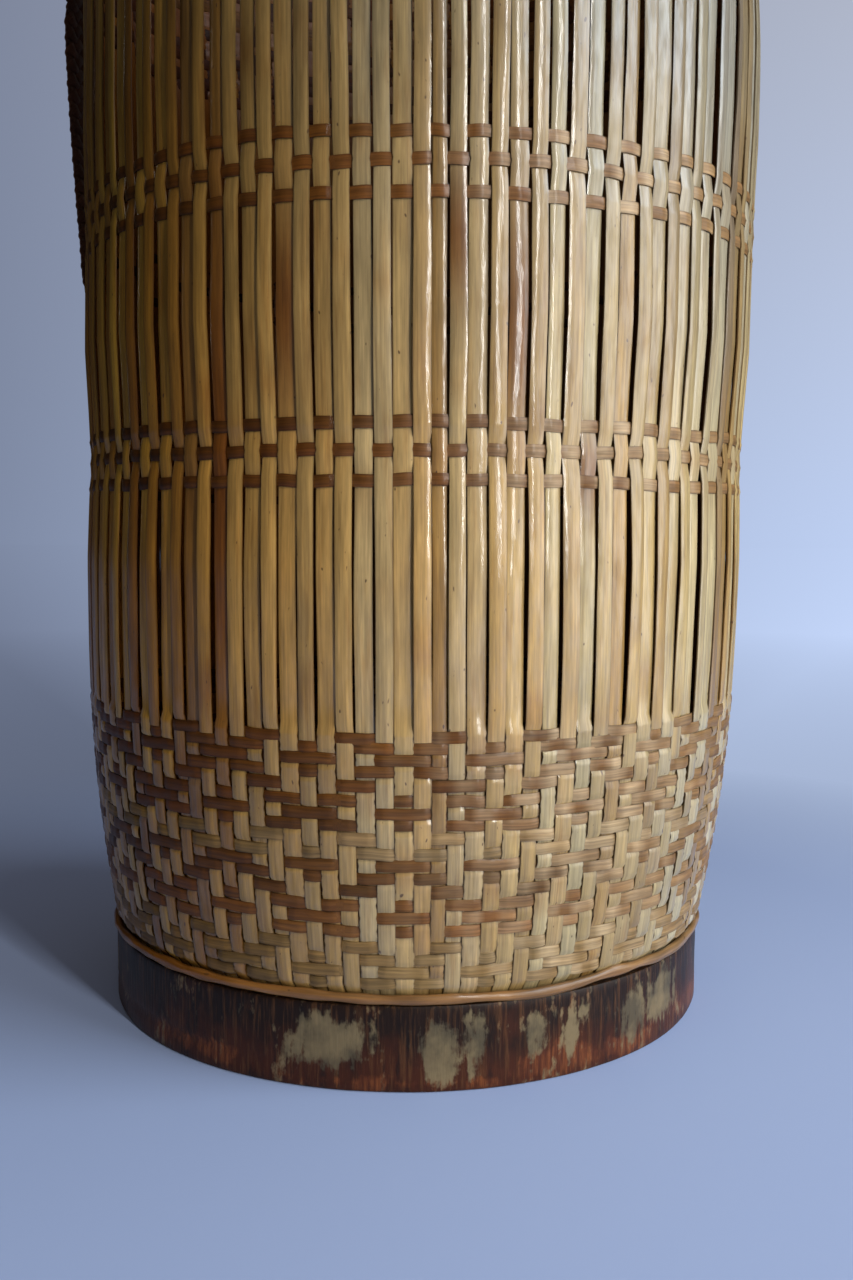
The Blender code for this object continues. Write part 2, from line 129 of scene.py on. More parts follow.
# Outer radius of the wall at each height, in mm
WALL_PROFILE = (
    (12, 91.9), (22, 92.0), (25, 94.2), (28.5, 97.2), (34, 98.3), (46, 100.2), (59, 102.1), (71, 103.4),
    (84, 104.5), (97, 105.3), (115, 105.8), (140, 106.1), (157, 105.6), (172, 105.0), (186, 105.6),
    (205, 106.6), (232, 106.4), (247, 106.4), (268, 106.8), (295, 106.5), (313, 105.9), (404, 105.4),
)

# The whole wall leans a little to the right and comes back under the rim
LEAN = 0.014
LEAN_TOP_Z = 290 * MM
LEAN_END_Z = 392 * MM

# Heights of the wefts, in mm
LOWER_BELT_Z = (
    97.0, 94.5, 91.4, 88.0, 84.6, 80.4, 77.0, 73.9, 70.3, 66.3,
    63.1, 59.8, 56.2, 52.2, 48.7, 45.0, 40.5, 36.9, 33.4, 30.2,
)
LOWER_BAND_Z = (176.6, 169.9, 162.3)
UPPER_BAND_Z = (247.3, 240.2, 232.5)
UPPER_BELT_START = 313.0
UPPER_BELT_PITCH = 3.62
UPPER_BELT_ROWS = 20

# Wefts, how far they wander up and down, and how far stakes and wefts sway round each other
WEFT_HEIGHT = 3.15 * MM
UPPER_BELT_WEFT_HEIGHT = 4.1 * MM
WEFT_THICKNESS = 0.6 * MM
BELT_SLACK = {"upper_belt": 0.12 * MM, "lower_belt": 0.28 * MM}
BAND_SLACK = 0.45 * MM
BELT_STAKE_SWAY = 0.34 * MM
BELT_WEFT_SWAY = 0.46 * MM
BAND_STAKE_SWAY = 0.42 * MM
BAND_WEFT_SWAY = 0.34 * MM
SPAN_STAKE_SWAY = 0.46 * MM

# A stake is loose in an open span, up to a full share at this distance from the wefts
OPEN_SPAN = 12 * MM
SPAN_MARGIN = 3.4 * MM
SPAN_STEP = 5.5 * MM
FULLY_LOOSE_AT = 24 * MM
HELD = 0.05

# Which of every ten stakes the wefts of the belts run over: the twill repeats after eight rows
TWILL_STAKES = 10
BELT_PATTERN = (
    (0, 1, 5, 6),
    (1, 2, 4, 5, 8),
    (2, 3, 4, 7, 8, 9),
    (1, 2, 4, 5, 8),
    (0, 1, 5, 6),
    (0, 3, 6, 7, 9),
    (2, 3, 4, 7, 8, 9),
    (0, 3, 6, 7, 9),
)
MISWOVEN_ROW = 4
MISWOVEN_STAKE = 7

# Foot
HOOP_OUTER = 96.4 * MM
HOOP_THICKNESS = 3.8 * MM
HOOP_HEIGHT = 24 * MM
HOOP_EDGE = 0.9 * MM
LAP_START = math.radians(76)
LAP_SPAN = math.radians(26)
LAP_OUTER_END = 0.5 * MM
LAP_INNER_END = 0.8 * MM
GROOVE_Z = 6.6 * MM
GROOVE_DEPTH = 0.5 * MM
GROOVE_ANGLE = math.radians(-150)
MAT_RADIUS = 91 * MM
MAT_PITCH = 4.4 * MM
MAT_STRIP = (3.9 * MM, 0.5 * MM)
MAT_Z = 10.55 * MM
MAT_SWAY = 0.36 * MM

# Marks on the hoop's face, each an oval: direction in degrees, height, reach along the face and up it in mm
WORN_PLACES = (
    (-103, 13.0, 10.5, 6.6), (-85, 12, 6.0, 8.4), (-79, 13.5, 3.0, 8.0), (-68.7, 13.3, 3.6, 4.8),
    (-62, 12, 2.2, 5.0), (-59.6, 17.4, 1.6, 1.6), (-48, 12, 6.2, 6.4), (-38.5, 14, 7.4, 6.6),
    (-12, 12, 5, 4), (22, 12, 8, 5), (64, 14, 4, 6), (122, 12, 7, 6), (158, 13, 6, 5), (196, 13, 3, 3),
)
RUSTY_PLACES = (
    (-66, 5.5, 14, 4.2), (-50, 4.5, 13, 3.8), (-95, 2.5, 20, 2.0), (-76, 2.2, 8, 2.2), (-128, 5, 18, 3),
    (-20, 5, 18, 4), (30, 4, 22, 3), (90, 5, 20, 4), (150, 4, 25, 3),
)

# Rim
RIM_LOW = 388 * MM
RIM_HIGH = 404.7 * MM
RIM_SHOULDER = 405 * MM
RIM_BEVEL_Z = 408.6 * MM
RIM_TOP = 412.6 * MM
RIM_OUTER = 111.6 * MM
RIM_INNER = 97.2 * MM
STATIONS_PER_WINDING = 30
THIN_CANE = 0.75 * MM

# Strap
STRAP_ANGLE = FRONT_STAKE_ANGLE + 90 * PITCH
STRAP_AXIS_RADIUS = 112.06 * MM
LOWER_LOOP_Z = 186 * MM
UPPER_LOOP_Z = 378 * MM
LOOP_LEG_RADIUS = 99 * MM
LOOP_CORNER = 3 * MM
LOOP_CANE = 2.4 * MM
EYE_RADIUS = 4.3 * MM
STRAP_BOW = 7.5 * MM
STRAP_BOW_PEAK_Z = 335 * MM
STRAP_HALF_WIDTH = 14 * MM
STRAP_EYE_HALF_WIDTH = 2 * MM
STRAP_NECK_HALF_WIDTH = 3.2 * MM
STRAP_NECK_END = 18.5 * MM
STRAP_FULL_WIDTH_AT = (54 * MM, 40 * MM)
PLAIT_STRANDS = 9
PLAIT_PERIOD = 47 * MM
PLAIT_LIFT = 0.7 * MM
STRAND_THICKNESS = 1.25 * MM
TIE_TURNS = 5
TIE_STATIONS = 24
TIE_START = 10.9 * MM
TIE_SPAN = 5.7 * MM
TIE_DEPTH = 2.9 * MM
TIE_WIDTH = 1.25 * MM
TIE_SQUARENESS = 0.62

# Camera: a 35 mm lens close to the basket, a little to the left of its axis and looking slightly down
CAMERA_DISTANCE = 417.17 * MM
CAMERA_HEIGHT = 148.75 * MM
CAMERA_PITCH = math.radians(4.852)
CAMERA_YAW = math.radians(0.842)
CAMERA_ROLL = math.radians(0.261)

# Lamps: place, target, width and height in metres, power in watts, colour
LAMPS = {
    "window": ((0.86, -0.4, 0.27), (0, 0, 0.1), (0.86, 0.52), 4.4, (1.0, 0.98, 0.96)),
    "high_window": ((0.98, -0.45, 0.82), (0, 0, 0.25), (0.9, 0.5), 7.4, (0.78, 0.89, 1.0)),
    "narrow_window": ((0.56, -1.0, 0.6), (0, 0, 0.17), (0.018, 1.0), 7.0, (1.0, 0.98, 0.95)),
}


def rgb(red, green, blue):
    """A linear colour from display values of 0 to 255."""
    shares = (value / 255 for value in (red, green, blue))
    return np.array([v / 12.92 if v <= 0.04045 else ((v + 0.055) / 1.055) ** 2.4 for v in shares])


PALE_STRAW = rgb(212, 178, 118)
STRAW = rgb(198, 158, 91)
HONEY = rgb(178, 132, 65)
DARK_HONEY = rgb(144, 100, 48)
ORANGE_BROWN = rgb(136, 80, 22)
GREEN_STRAW = rgb(202, 172, 112)
PEACH = rgb(190, 148, 84)
DARK_BROWN = rgb(108, 64, 18)
PALE_TAN = rgb(150, 122, 80)
MEDIUM_BROWN = rgb(110, 70, 26)
RED_BROWN = rgb(130, 84, 38)
GREY_TAN = rgb(142, 112, 66)
RIM_CANE = rgb(182, 134, 76)
STRAP_BROWN = rgb(98, 70, 54)
BINDING_CANE = rgb(150, 106, 58)

# The stakes that face the camera, from number -12 on
FIRST_FRONT_STAKE = -12
FRONT_STAKES = (
    HONEY, STRAW, HONEY, DARK_HONEY, STRAW, HONEY, STRAW, STRAW, STRAW, STRAW, STRAW, STRAW,
    STRAW, PALE_STRAW, PALE_STRAW, STRAW, PEACH, HONEY, PALE_STRAW, PALE_STRAW, STRAW, STRAW,
    STRAW, GREEN_STRAW, PEACH, GREEN_STRAW, STRAW, HONEY, STRAW, STRAW, HONEY, PALE_STRAW,
    STRAW, PALE_STRAW, PALE_STRAW, PALE_STRAW,
)

# Colours for the other stakes, how common each is, and how common it is in the tint mixed into every stake
PALETTE = np.array([PALE_STRAW, STRAW, HONEY, GREEN_STRAW, PEACH, DARK_HONEY])
PALETTE_SHARES = (0.16, 0.3, 0.26, 0.08, 0.12, 0.08)
MIXED_IN_SHARES = (0.2, 0.3, 0.2, 0.1, 0.1, 0.1)
MIXED_IN = 0.2

# Stains: stake, height of the middle and reach in mm
STAINED_STAKES = ((9, 202, 32), (6, 222, 18), (-7, 170, 90), (-3, 205, 26), (13, 165, 12))
STAIN_SHARE = 0.92

# Colours of a belt's wefts from the open side on, each up to a row
BELT_COLOURS = (
    (8, DARK_BROWN * 0.65 + MEDIUM_BROWN * 0.35),
    (10, PALE_TAN),
    (13, MEDIUM_BROWN),
    (16, RED_BROWN),
    (20, GREY_TAN),
)

# Painted light and shade take these shares of red, green and blue away, or add them: by side and by height;
# the lower belt's stakes are made cooler and duller
# Painted shade on the dark left side, for stakes, wefts and belts
LEFT_PAINTED_SHADE = np.array([0.18, 0.4, 0.85])
LEFT_PAINTED_SHADE_WEFTS = np.array([0.5, 0.4, 0.0])
LEFT_PAINTED_SHADE_BELTS = 0.4
# Painted sheen on the lit right side; the wefts there are blended towards a pale painted colour
RIGHT_PAINTED_SHEEN = np.array([0.2, 0.075, -0.14])
WEFT_PAINTED_LIGHT = rgb(156, 120, 74)
WEFT_PAINTED_LIGHT_SHARE = 0.5
# Painted bluish sheen high at the right, painted light on the far right edge, painted shade high in front
TOP_RIGHT_PAINTED_SHEEN = np.array([-0.02, 0.05, 0.36])
RIGHT_EDGE_PAINTED_LIGHT = 0.55
TOP_PAINTED_SHADE = np.array([0.48, 0.43, 0.34])
TOP_PAINTED_SHADE_Z = (150 * MM, 280 * MM)
BELT_DULLED = np.array([0.11, 0.06, -0.06])
BELT_DULLED_Z = (100 * MM, 94 * MM)
STAKE_DARKNESS = 0.95

# Painted whitish glare on the wefts at the right of the front
PAINTED_GLARE = rgb(222, 194, 150)
GLARE_ANGLE = math.radians(-62)
GLARE_REACH = 0.36
MOST_GLARE = 0.56

# The inner faces of all strands get painted shade, darker and browner, those of cane darker still, and have
# no varnish
UNSEEN_DEPTH = -0.2
UNSEEN_FACE_SHADE = np.array([0.66, 0.46, 0.3])
INSIDE_SHADE = 0.7
VARNISH_IOR = 1.62

# Floor, the wall behind it with painted light and shade, darker at the left and higher up, and the soft fill
# light
FLOOR_TINT = rgb(173, 192, 232)
WALL_LEFT = rgb(113, 123, 147)
WALL_RIGHT = rgb(195, 213, 248)
HIGH_WALL_LEFT = rgb(112, 121, 144)
HIGH_WALL_RIGHT = rgb(182, 189, 207)
WALL_SIDE_SPAN = 0.42
FILL_SIDE = (0.55, -0.25, 0.8)
FILL_DARK_COLOUR = rgb(255, 214, 160)
FILL_BRIGHT_COLOUR = rgb(222, 232, 250)
FILL_STRENGTHS = (0.015, 0.3)


# Geometry helpers


def rise(values, start, end):
    """0 before start, 1 past end and even between them; start may be above end."""
    return np.clip((values - start) / (end - start), 0, 1)


def smooth(share):
    return share * share * (3 - 2 * share)


def unit(vectors):
    return vectors / np.linalg.norm(vectors, axis=-1, keepdims=True)


def lean(z):
    """Sideways shift of the wall at a height."""
    return np.minimum(z, LEAN_TOP_Z) * LEAN * smooth(rise(z, LEAN_END_Z, LEAN_TOP_Z))


def wall_radius(z):
    heights, radii = np.array(WALL_PROFILE).T * MM
    return np.interp(z, heights, radii)


def from_front(index):
    """A stake's number counted from stake 0 either way, so that those left of it are negative."""
    return (index + STAKE_COUNT / 2) % STAKE_COUNT - STAKE_COUNT / 2


def stake_angle(index, z=TWIST_START_Z):
    """Direction of a stake: evenly spread but for a few pushed aside, and turning with height in front."""
    push = np.interp(from_front(index), *np.array(PUSHED_STAKES).T)
    angle = FRONT_STAKE_ANGLE + (index - FRONT_STAKE + push) * PITCH
    front = np.clip(-2.2 * np.sin(angle) - 1.2, 0, 1)
    return angle - STAKE_TWIST * (np.minimum(z, TWIST_END_Z) - TWIST_START_Z) * front


def wander(rng, count, places, wavelength):
    """Smooth random values of about -1 to 1 along places, one row for each strand."""
    total = 0
    for octave in (1.0, 1.83, 3.1):
        phase = rng.uniform(0, TURN, (count, 1))
        total = total + np.sin(TURN * np.asarray(places) * octave / wavelength + phase) / octave
    return total / 1.6


def ring_wander(rng, angles, lowest, highest):
    """Smooth random values of about -1 to 1 that join up round a ring."""
    total = 0
    for turns in range(lowest, highest + 1):
        total = total + np.sin(angles * turns + rng.uniform(0, TURN)) * (lowest / turns) ** 0.5
    return total / math.sqrt(0.5 * (highest - lowest + 1) + 0.5)


def crowned(points_across=5, crown=0.55, power=2.6):
    """Section of a split cane, (across, depth) in a unit square: flat inside, crowned outside."""
    outline = [(-0.5, -0.3), (-0.5, 0.5 - crown)]
    for i in range(1, points_across - 1):
        across = -0.5 + i / (points_across - 1)
        outline.append((across * 0.94, 0.5 - crown * (2 * abs(across)) ** power))
    return outline + [(0.5, 0.5 - crown), (0.5, -0.3), (0.4, -0.5), (-0.4, -0.5)]


def oval(points):
    turns = [TURN * i / points for i in range(points)]
    return [(0.5 * math.cos(turn), 0.5 * math.sin(turn)) for turn in turns]


def placed(name, data):
    """A new object of the scene."""
    thing = bpy.data.objects.new(name, data)
    bpy.context.scene.collection.objects.link(thing)
    return thing


def mesh_of(name, places, faces_by_size, tints, sharp=50):
    """A mesh from places (n, 3) about the basket's axis, and lists of faces of equal corners."""
    mesh = bpy.data.meshes.new(name)
    places = places + np.array([AXIS_X, 0, 0])
    mesh.vertices.add(len(places))
    mesh.vertices.foreach_set("co", places.astype(np.float32).ravel())
    corners = np.concatenate([f.ravel() for f in faces_by_size])
    sizes = np.concatenate([np.full(len(f), f.shape[1]) for f in faces_by_size])
    mesh.loops.add(len(corners))
    mesh.loops.foreach_set("vertex_index", corners.astype(np.int32))
    mesh.polygons.add(len(sizes))
    starts = np.concatenate([[0], np.cumsum(sizes)[:-1]])
    mesh.polygons.foreach_set("loop_start", starts.astype(np.int32))
    mesh.update(calc_edges=True)
    mesh.validate()
    layer = mesh.color_attributes.new("tint", "FLOAT_COLOR", "POINT")
    colours = np.ones((len(places), 4))
    colours[:, : tints.shape[1]] = tints
    layer.data.foreach_set("color", colours.astype(np.float32).ravel())
    mesh.shade_smooth()
    mesh.set_sharp_from_angle(angle=math.radians(sharp))
    return placed(name, mesh)


def grain_attribute(mesh, across, along, share):
    """Distances across and along each strand, and the share of its width, for the grain of its material."""
    layer = mesh.attributes.new("grain", "FLOAT_VECTOR", "POINT")
    values = np.stack([across.ravel(), along.ravel(), share.ravel()], axis=-1)
    layer.data.foreach_set("vector", values.astype(np.float32).ravel())


def quads_between(here, ahead):
    """Faces between rings of points and the rings ahead of them."""
    corners = (here, np.roll(here, -1, axis=-1), np.roll(ahead, -1, axis=-1), ahead)
    return np.stack(corners, axis=-1).reshape(-1, 4)


def strands(name, centre, across, away, width, thick, tint, section, looped=False):
    """Sweeps a section along many strands at once. Its middle lines, centre, are (strands, stations, 3)."""
    count, stations = centre.shape[:2]
    width, thick = (np.broadcast_to(size, (count, stations)) for size in (width, thick))
    tint = np.broadcast_to(tint, centre.shape)
    section = np.array(section)
    points = len(section)
    wide = section[:, 0] * width[..., None]
    deep = section[:, 1] * thick[..., None]
    places = centre[:, :, None] + across[:, :, None] * wide[..., None] + away[:, :, None] * deep[..., None]
    index = np.arange(count * stations * points).reshape(count, stations, points)
    if looped:
        faces = [quads_between(index, np.roll(index, -1, axis=1))]
    else:
        faces = [quads_between(index[:, :-1], index[:, 1:]), index[:, 0, ::-1], index[:, -1, :]]
    unseen = section[:, 1:] < UNSEEN_DEPTH
    tints = np.ones((count, stations, points, 4))
    tints[..., :3] = tint[:, :, None, :] * np.where(unseen, UNSEEN_FACE_SHADE, 1.0)
    tints[..., 3:] = np.where(unseen, 0.0, 1.0)
    thing = mesh_of(name, places.reshape(-1, 3), faces, tints.reshape(-1, 4))
    steps = np.linalg.norm(np.diff(centre, axis=1, prepend=centre[:, :1]), axis=2)
    along = np.cumsum(steps, axis=1) + np.arange(count)[:, None] * 0.37
    along = np.broadcast_to(along[:, :, None], wide.shape)
    side = wide + np.arange(count)[:, None, None] * 0.11
    grain_attribute(thing.data, side, along, np.broadcast_to(section[:, 0], wide.shape))
    return thing


def strand(name, centre, across, away, width, thick, tint, section, looped=False):
    """Sweeps a section along one strand."""
    arrays = (centre, across, away, width, thick, tint)
    return strands(name, *(np.asarray(a)[None] for a in arrays), section, looped)


def polar(radius, angle, z, leaning=True):
    """Points (..., 3) on the wall, with its lean."""
    radius, angle, z = np.broadcast_arrays(radius, angle, z)
    shift = lean(z) if leaning else 0.0
    return np.stack([radius * np.cos(angle) + shift, radius * np.sin(angle), z], axis=-1)


def radial(angle):
    return np.stack([np.cos(angle), np.sin(angle), 0 * angle], axis=-1)


def tangential(angle):
    return np.stack([-np.sin(angle), np.cos(angle), 0 * angle], axis=-1)


def upright(angle):
    return np.stack([0 * angle, 0 * angle, 1 + 0 * angle], axis=-1)


def stands_for(piece, node):
    """The piece takes the place of a solid of the frame, which is hidden."""
    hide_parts(node)
    return piece


# Weave

Row = namedtuple("Row", "z over colour stake_sway weft_sway name")


def belt_row(row, z, name):
    """A weft of a belt, with the stakes that it shows in front of."""
    over = np.isin(STAKES % TWILL_STAKES, BELT_PATTERN[row % len(BELT_PATTERN)])
    colour = next(colour for end, colour in BELT_COLOURS if row < end)
    return Row(z * MM, over, colour, BELT_STAKE_SWAY, BELT_WEFT_SWAY, name)


def weave_rows():
    """Every weft from the bottom up."""
    rows = [belt_row(row, z, "lower_belt") for row, z in enumerate(LOWER_BELT_Z)]
    rows[MISWOVEN_ROW].over[MISWOVEN_STAKE] = True
    rows.reverse()
    for name, heights in (("lower_band", LOWER_BAND_Z), ("upper_band", UPPER_BAND_Z)):
        for place, z in reversed(list(zip(("top", "middle", "bottom"), heights))):
            over = ~ODD_STAKES if place == "middle" else ODD_STAKES
            weft = f"{name}_{place}_weft"
            rows.append(Row(z * MM, over, DARK_BROWN, BAND_STAKE_SWAY, BAND_WEFT_SWAY, weft))
    for row in range(UPPER_BELT_ROWS):
        rows.append(belt_row(row, UPPER_BELT_START + row * UPPER_BELT_PITCH, "upper_belt"))
    return rows


def stake_stations(rows):
    """Heights up a stake, and for each stake how far it stands out or in there."""
    alternate = np.where(ODD_STAKES, -1.0, 1.0)
    heights = [STAKE_BOTTOM_Z, 20 * MM, 25.5 * MM]
    sway = [np.zeros(STAKE_COUNT)] * 3
    flat = WEFT_HEIGHT * 0.33
    for before, row in zip([None] + rows[:-1], rows):
        if before is not None and row.z - before.z > OPEN_SPAN:
            start, end = before.z + SPAN_MARGIN, row.z - SPAN_MARGIN
            steps = max(2, int((end - start) / SPAN_STEP))
            for share in np.linspace(0, 1, steps + 1):
                heights.append(start + (end - start) * share)
                sway.append(alternate * SPAN_STAKE_SWAY)
        for shift in (-flat, 0, flat):
            heights.append(row.z + shift)
            sway.append(np.where(row.over, -row.stake_sway, row.stake_sway))
    heights += [RIM_LOW + 2 * MM, STAKE_TOP_Z]
    sway += [np.zeros(STAKE_COUNT)] * 2
    return np.array(heights), np.array(sway).T


def looseness(heights, rows):
    """0 where wefts hold the stakes, rising to 1 in the middle of an open span."""
    held = np.array([row.z for row in rows] + [STAKE_BOTTOM_Z, RIM_LOW, STAKE_TOP_Z])
    reach = np.min(np.abs(heights[:, None] - held[None, :]), axis=1)
    return np.clip(reach / FULLY_LOOSE_AT, 0, 1) ** 0.7


def left_share(angle):
    return np.clip(-1.6 * np.cos(angle) - 0.15, 0, 1)


def right_share(angle):
    return np.clip(1.5 * np.cos(angle) - 0.2, 0, 1) * np.clip(-4 * np.sin(angle), 0.3, 1)


def back_share(angle):
    """0 on the front of the wall, rising to 1 at its sides and back, a little sooner at the right."""
    return np.clip(np.sin(angle) * 2.3 + np.where(np.cos(angle) > 0, 1.7, 1.4), 0, 1)


def side_painted_light(angle):
    """Share of each colour left, (..., 3): painted shade on the left side and painted sheen on the right."""
    left, right = left_share(angle)[..., None], right_share(angle)[..., None]
    return (1 - left * LEFT_PAINTED_SHADE) * (1 - right * RIGHT_PAINTED_SHEEN)


def stake_directions(rng, heights, loose):
    """Direction of each stake at each height: they slide sideways, most where no weft holds them."""
    index = STAKES[:, None]
    near = from_front(index)
    calm = (near >= CALM_STAKES[0]) & (near <= CALM_STAKES[1])
    slide = rng.normal(0, 1, (STAKE_COUNT, 1)) * np.where(calm, CALM_SLIDE, FREE_SLIDE)
    slide = slide + wander(rng, STAKE_COUNT, heights, 0.19) * 0.5 * loose
    return stake_angle(index, heights) + slide * LOOSE_SPREAD / WALL_RADIUS


def stake_radii(rng, heights, sway, angle, loose, back):
    """Distance of each stake from the axis: out and in round the wefts, and bulging a little where loose."""
    bulge = rng.uniform(-0.2, 0.2, (STAKE_COUNT, 1)) * MM * loose * (1 - 0.6 * back)
    side = np.clip(3 * np.abs(np.cos(angle)) - 2, 0, 1)
    sway = sway * (1 - 0.3 * (back + side) * (loose > HELD))
    return wall_radius(heights) - WEAVE_DEPTH + sway + bulge


def stake_widths(rng, heights, angle, loose, back):
    """Width of each stake at each height; the unseen back closes up, so that no light comes through."""
    varied = rng.normal(0, 0.05, (STAKE_COUNT, 1)) + 0.03 * wander(rng, STAKE_COUNT, heights, 0.11)
    sunk = ODD_STAKES[:, None] * (loose > HELD)
    width = STAKE_WIDTH * (1 + varied) + SUNK_STAKE_EXTRA * sunk
    for stake, share in UNEVEN_STAKES.items():
        width[stake] = width[stake] * share
    left, right, front = left_share(angle), right_share(angle), 1 - back
    width = width * (1 + (WIDER_AT_RIGHT * right - NARROWER_AT_LEFT * left) * front)
    narrowed = rise(heights, *NARROWED_Z) * front * (1 - left) * (1 - 0.6 * right)
    width = width * (1 - NARROWED_TOP * narrowed)
    width = width + BACK_STAKE_EXTRA * sunk * back + BACK_HELD_EXTRA * (loose <= HELD) * back
    return np.minimum(width, WIDEST_STAKE) * np.minimum(1, wall_radius(heights) / (100 * MM))


def stake_tints(rng, heights):
    """Colour of each stake along its length: most are straw, some honey, brown or greenish."""
    base = PALETTE[rng.choice(len(PALETTE), STAKE_COUNT, p=PALETTE_SHARES)]
    for i, colour in enumerate(FRONT_STAKES):
        base[(FIRST_FRONT_STAKE + i) % STAKE_COUNT] = colour
    mixed_in = PALETTE[rng.choice(len(PALETTE), STAKE_COUNT, p=MIXED_IN_SHARES)]
    base = base * (1 - MIXED_IN) + mixed_in * MIXED_IN
    drift = wander(rng, STAKE_COUNT, heights, 0.21)[..., None]
    patch = np.clip(wander(rng, STAKE_COUNT, heights, 0.075) - 0.55, 0, 1)[..., None]
    value = rng.uniform(0.88, 1.08, (STAKE_COUNT, 1, 1))
    tint = base[:, None, :] * value * (1 + 0.09 * drift)
    tint = tint * (1 - patch * np.array([0.25, 0.42, 0.6]))
    for stake, middle, reach in STAINED_STAKES:
        share = STAIN_SHARE * np.exp(-(((heights - middle * MM) / (reach * MM)) ** 2))[:, None]
        tint[stake] += share * (ORANGE_BROWN - tint[stake])
    return tint


def stake_age(angle, heights):
    """Share of each colour left, (..., 3): painted shade high in front with a painted bluish sheen at its
    right, painted light at its right edge.
    """
    facing = np.clip(-4 * np.sin(angle), 0, 1)
    high = rise(heights, *TOP_PAINTED_SHADE_Z) * facing
    lit_edge = RIGHT_EDGE_PAINTED_LIGHT * facing * np.clip(6 * np.cos(angle) - 4.8, 0, 1)
    top_sheen = (high * right_share(angle))[..., None] * TOP_RIGHT_PAINTED_SHEEN
    age = side_painted_light(angle) * (1 - high[..., None] * TOP_PAINTED_SHADE) * (1 + top_sheen) * (1 + lit_edge)[..., None]
    return age * (1 - rise(heights, *BELT_DULLED_Z)[None, :, None] * BELT_DULLED)


def make_stakes(rows):
    rng = np.random.default_rng(11)
    heights, sway = stake_stations(rows)
    loose = looseness(heights, rows)
    angle = stake_directions(rng, heights, loose)
    back = back_share(angle)
    centre = polar(stake_radii(rng, heights, sway, angle, loose, back), angle, heights)
    width = stake_widths(rng, heights, angle, loose, back)
    thick = STAKE_THICKNESS * (1 + rng.normal(0, 0.06, (STAKE_COUNT, 1)))
    twist = wander(rng, STAKE_COUNT, heights, 0.24) * 0.13 * loose + rng.normal(0, 0.03, (STAKE_COUNT, 1))
    out, sideways = radial(angle), tangential(angle)
    cos, sin = np.cos(twist)[..., None], np.sin(twist)[..., None]
    across = sideways * cos + out * sin
    away = out * cos - sideways * sin
    tint = stake_tints(rng, heights) * stake_age(angle, heights) * STAKE_DARKNESS
    return strands("wall_stakes", centre, across, away, width, thick, tint, crowned(7, 0.34, 3.4))


def weft_tint(rng, row, angle):
    """Colour along a weft: patchy, warmer and cooler in turn, with painted shade on the left and painted
    sheen on the right, and a painted whitish glare at the right of the front.
    """
    patchy = 1 + 0.16 * ring_wander(rng, angle, 4, 40)
    tint = row.colour * patchy[:, None] * rng.uniform(0.88, 1.12)
    warm = 1 + 0.04 * ring_wander(rng, angle, 3, 11)
    tint = tint * np.stack([warm, np.ones_like(warm), 1 / warm], axis=-1) * side_painted_light(angle)
    left_shade = LEFT_PAINTED_SHADE_WEFTS * (1.0 if row.name.endswith("weft") else LEFT_PAINTED_SHADE_BELTS)
    tint = tint * (1 - left_share(angle)[:, None] * left_shade)
    tint = tint + right_share(angle)[:, None] * WEFT_PAINTED_LIGHT_SHARE * (WEFT_PAINTED_LIGHT - tint)
    glare = np.clip(0.26 + 0.24 * ring_wander(rng, angle, 30, 90), 0, MOST_GLARE)
    glare = glare * np.exp(-(((angle - GLARE_ANGLE) / GLARE_REACH) ** 2))
    return tint + glare[:, None] * (PAINTED_GLARE - tint)


def weft_ring(rng, row):
    """One weft: three stations for each stake, out where it passes over and in where it passes under."""
    offsets = np.array([-0.27, 0.0, 0.27])
    angle = (stake_angle(STAKES, row.z)[:, None] + offsets * PITCH).ravel()
    out = np.repeat(np.where(row.over, row.weft_sway, -row.weft_sway), 3)
    out = out + np.tile([-0.05, 0.05, -0.05], STAKE_COUNT) * MM
    slack = BELT_SLACK.get(row.name, BAND_SLACK)
    height = row.z + slack * ring_wander(rng, angle, 3, 17) + 0.1 * MM * ring_wander(rng, angle, 30, 60)
    radius = wall_radius(height) - WEAVE_DEPTH + out
    full = UPPER_BELT_WEFT_HEIGHT if row.name == "upper_belt" else WEFT_HEIGHT
    width = full * (1 + 0.05 * ring_wander(rng, angle, 5, 25)) * rng.uniform(0.95, 1.05)
    return polar(radius, angle, height), upright(angle), radial(angle), width, weft_tint(rng, row, angle)


def make_wefts(name, rows):
    rng = np.random.default_rng(sum(ord(c) for c in name))
    rings = [weft_ring(rng, row) for row in rows]
    centre, up, out, width, tint = (np.array([ring[i] for ring in rings]) for i in range(5))
    return strands(name, centre, up, out, width, WEFT_THICKNESS, tint, crowned(5, 0.32, 3.0), looped=True)


def make_wall():
    rows = weave_rows()
    made = [stands_for(make_stakes(rows), "stake_wall")]
    for belt in ("lower_belt", "upper_belt"):
        wefts = make_wefts(f"{belt}_wefts", [row for row in rows if row.name == belt])
        made.append(stands_for(wefts, "stake_wall"))
    for row in rows:
        if row.name.endswith("weft"):
            made.append(stands_for(make_wefts(f"{row.name}_cane", [row]), row.name))
    return made


# Foot


def ring_strand(name, radius, z, size, colour, section, seed, stations, rough=0.0):
    """One cane or strip bent round into a ring; size is its height and depth, rough makes it knobbly."""
    rng = np.random.default_rng(seed)
    angle = np.linspace(0, TURN, stations, endpoint=False)
    radii = radius + rough * 0.4 * ring_wander(rng, angle, 3, 40)
    heights = z + rough * ring_wander(rng, angle, 2, 16)
    width = size[0] * (1 + (rough / MM) * 0.3 * ring_wander(rng, angle, 9, 50))
    thick = size[1] * (1 + (rough / MM) * 0.16 * ring_wander(rng, angle, 12, 60))
    shade = 1 + (0.1 + 0.3 * rough / MM) * ring_wander(rng, angle, 4, 40)
    centre = polar(radii, angle, heights, leaning=False)
    tint = colour * shade[:, None]
    return strand(name, centre, upright(angle), radial(angle), width, thick, tint, section, looped=True)


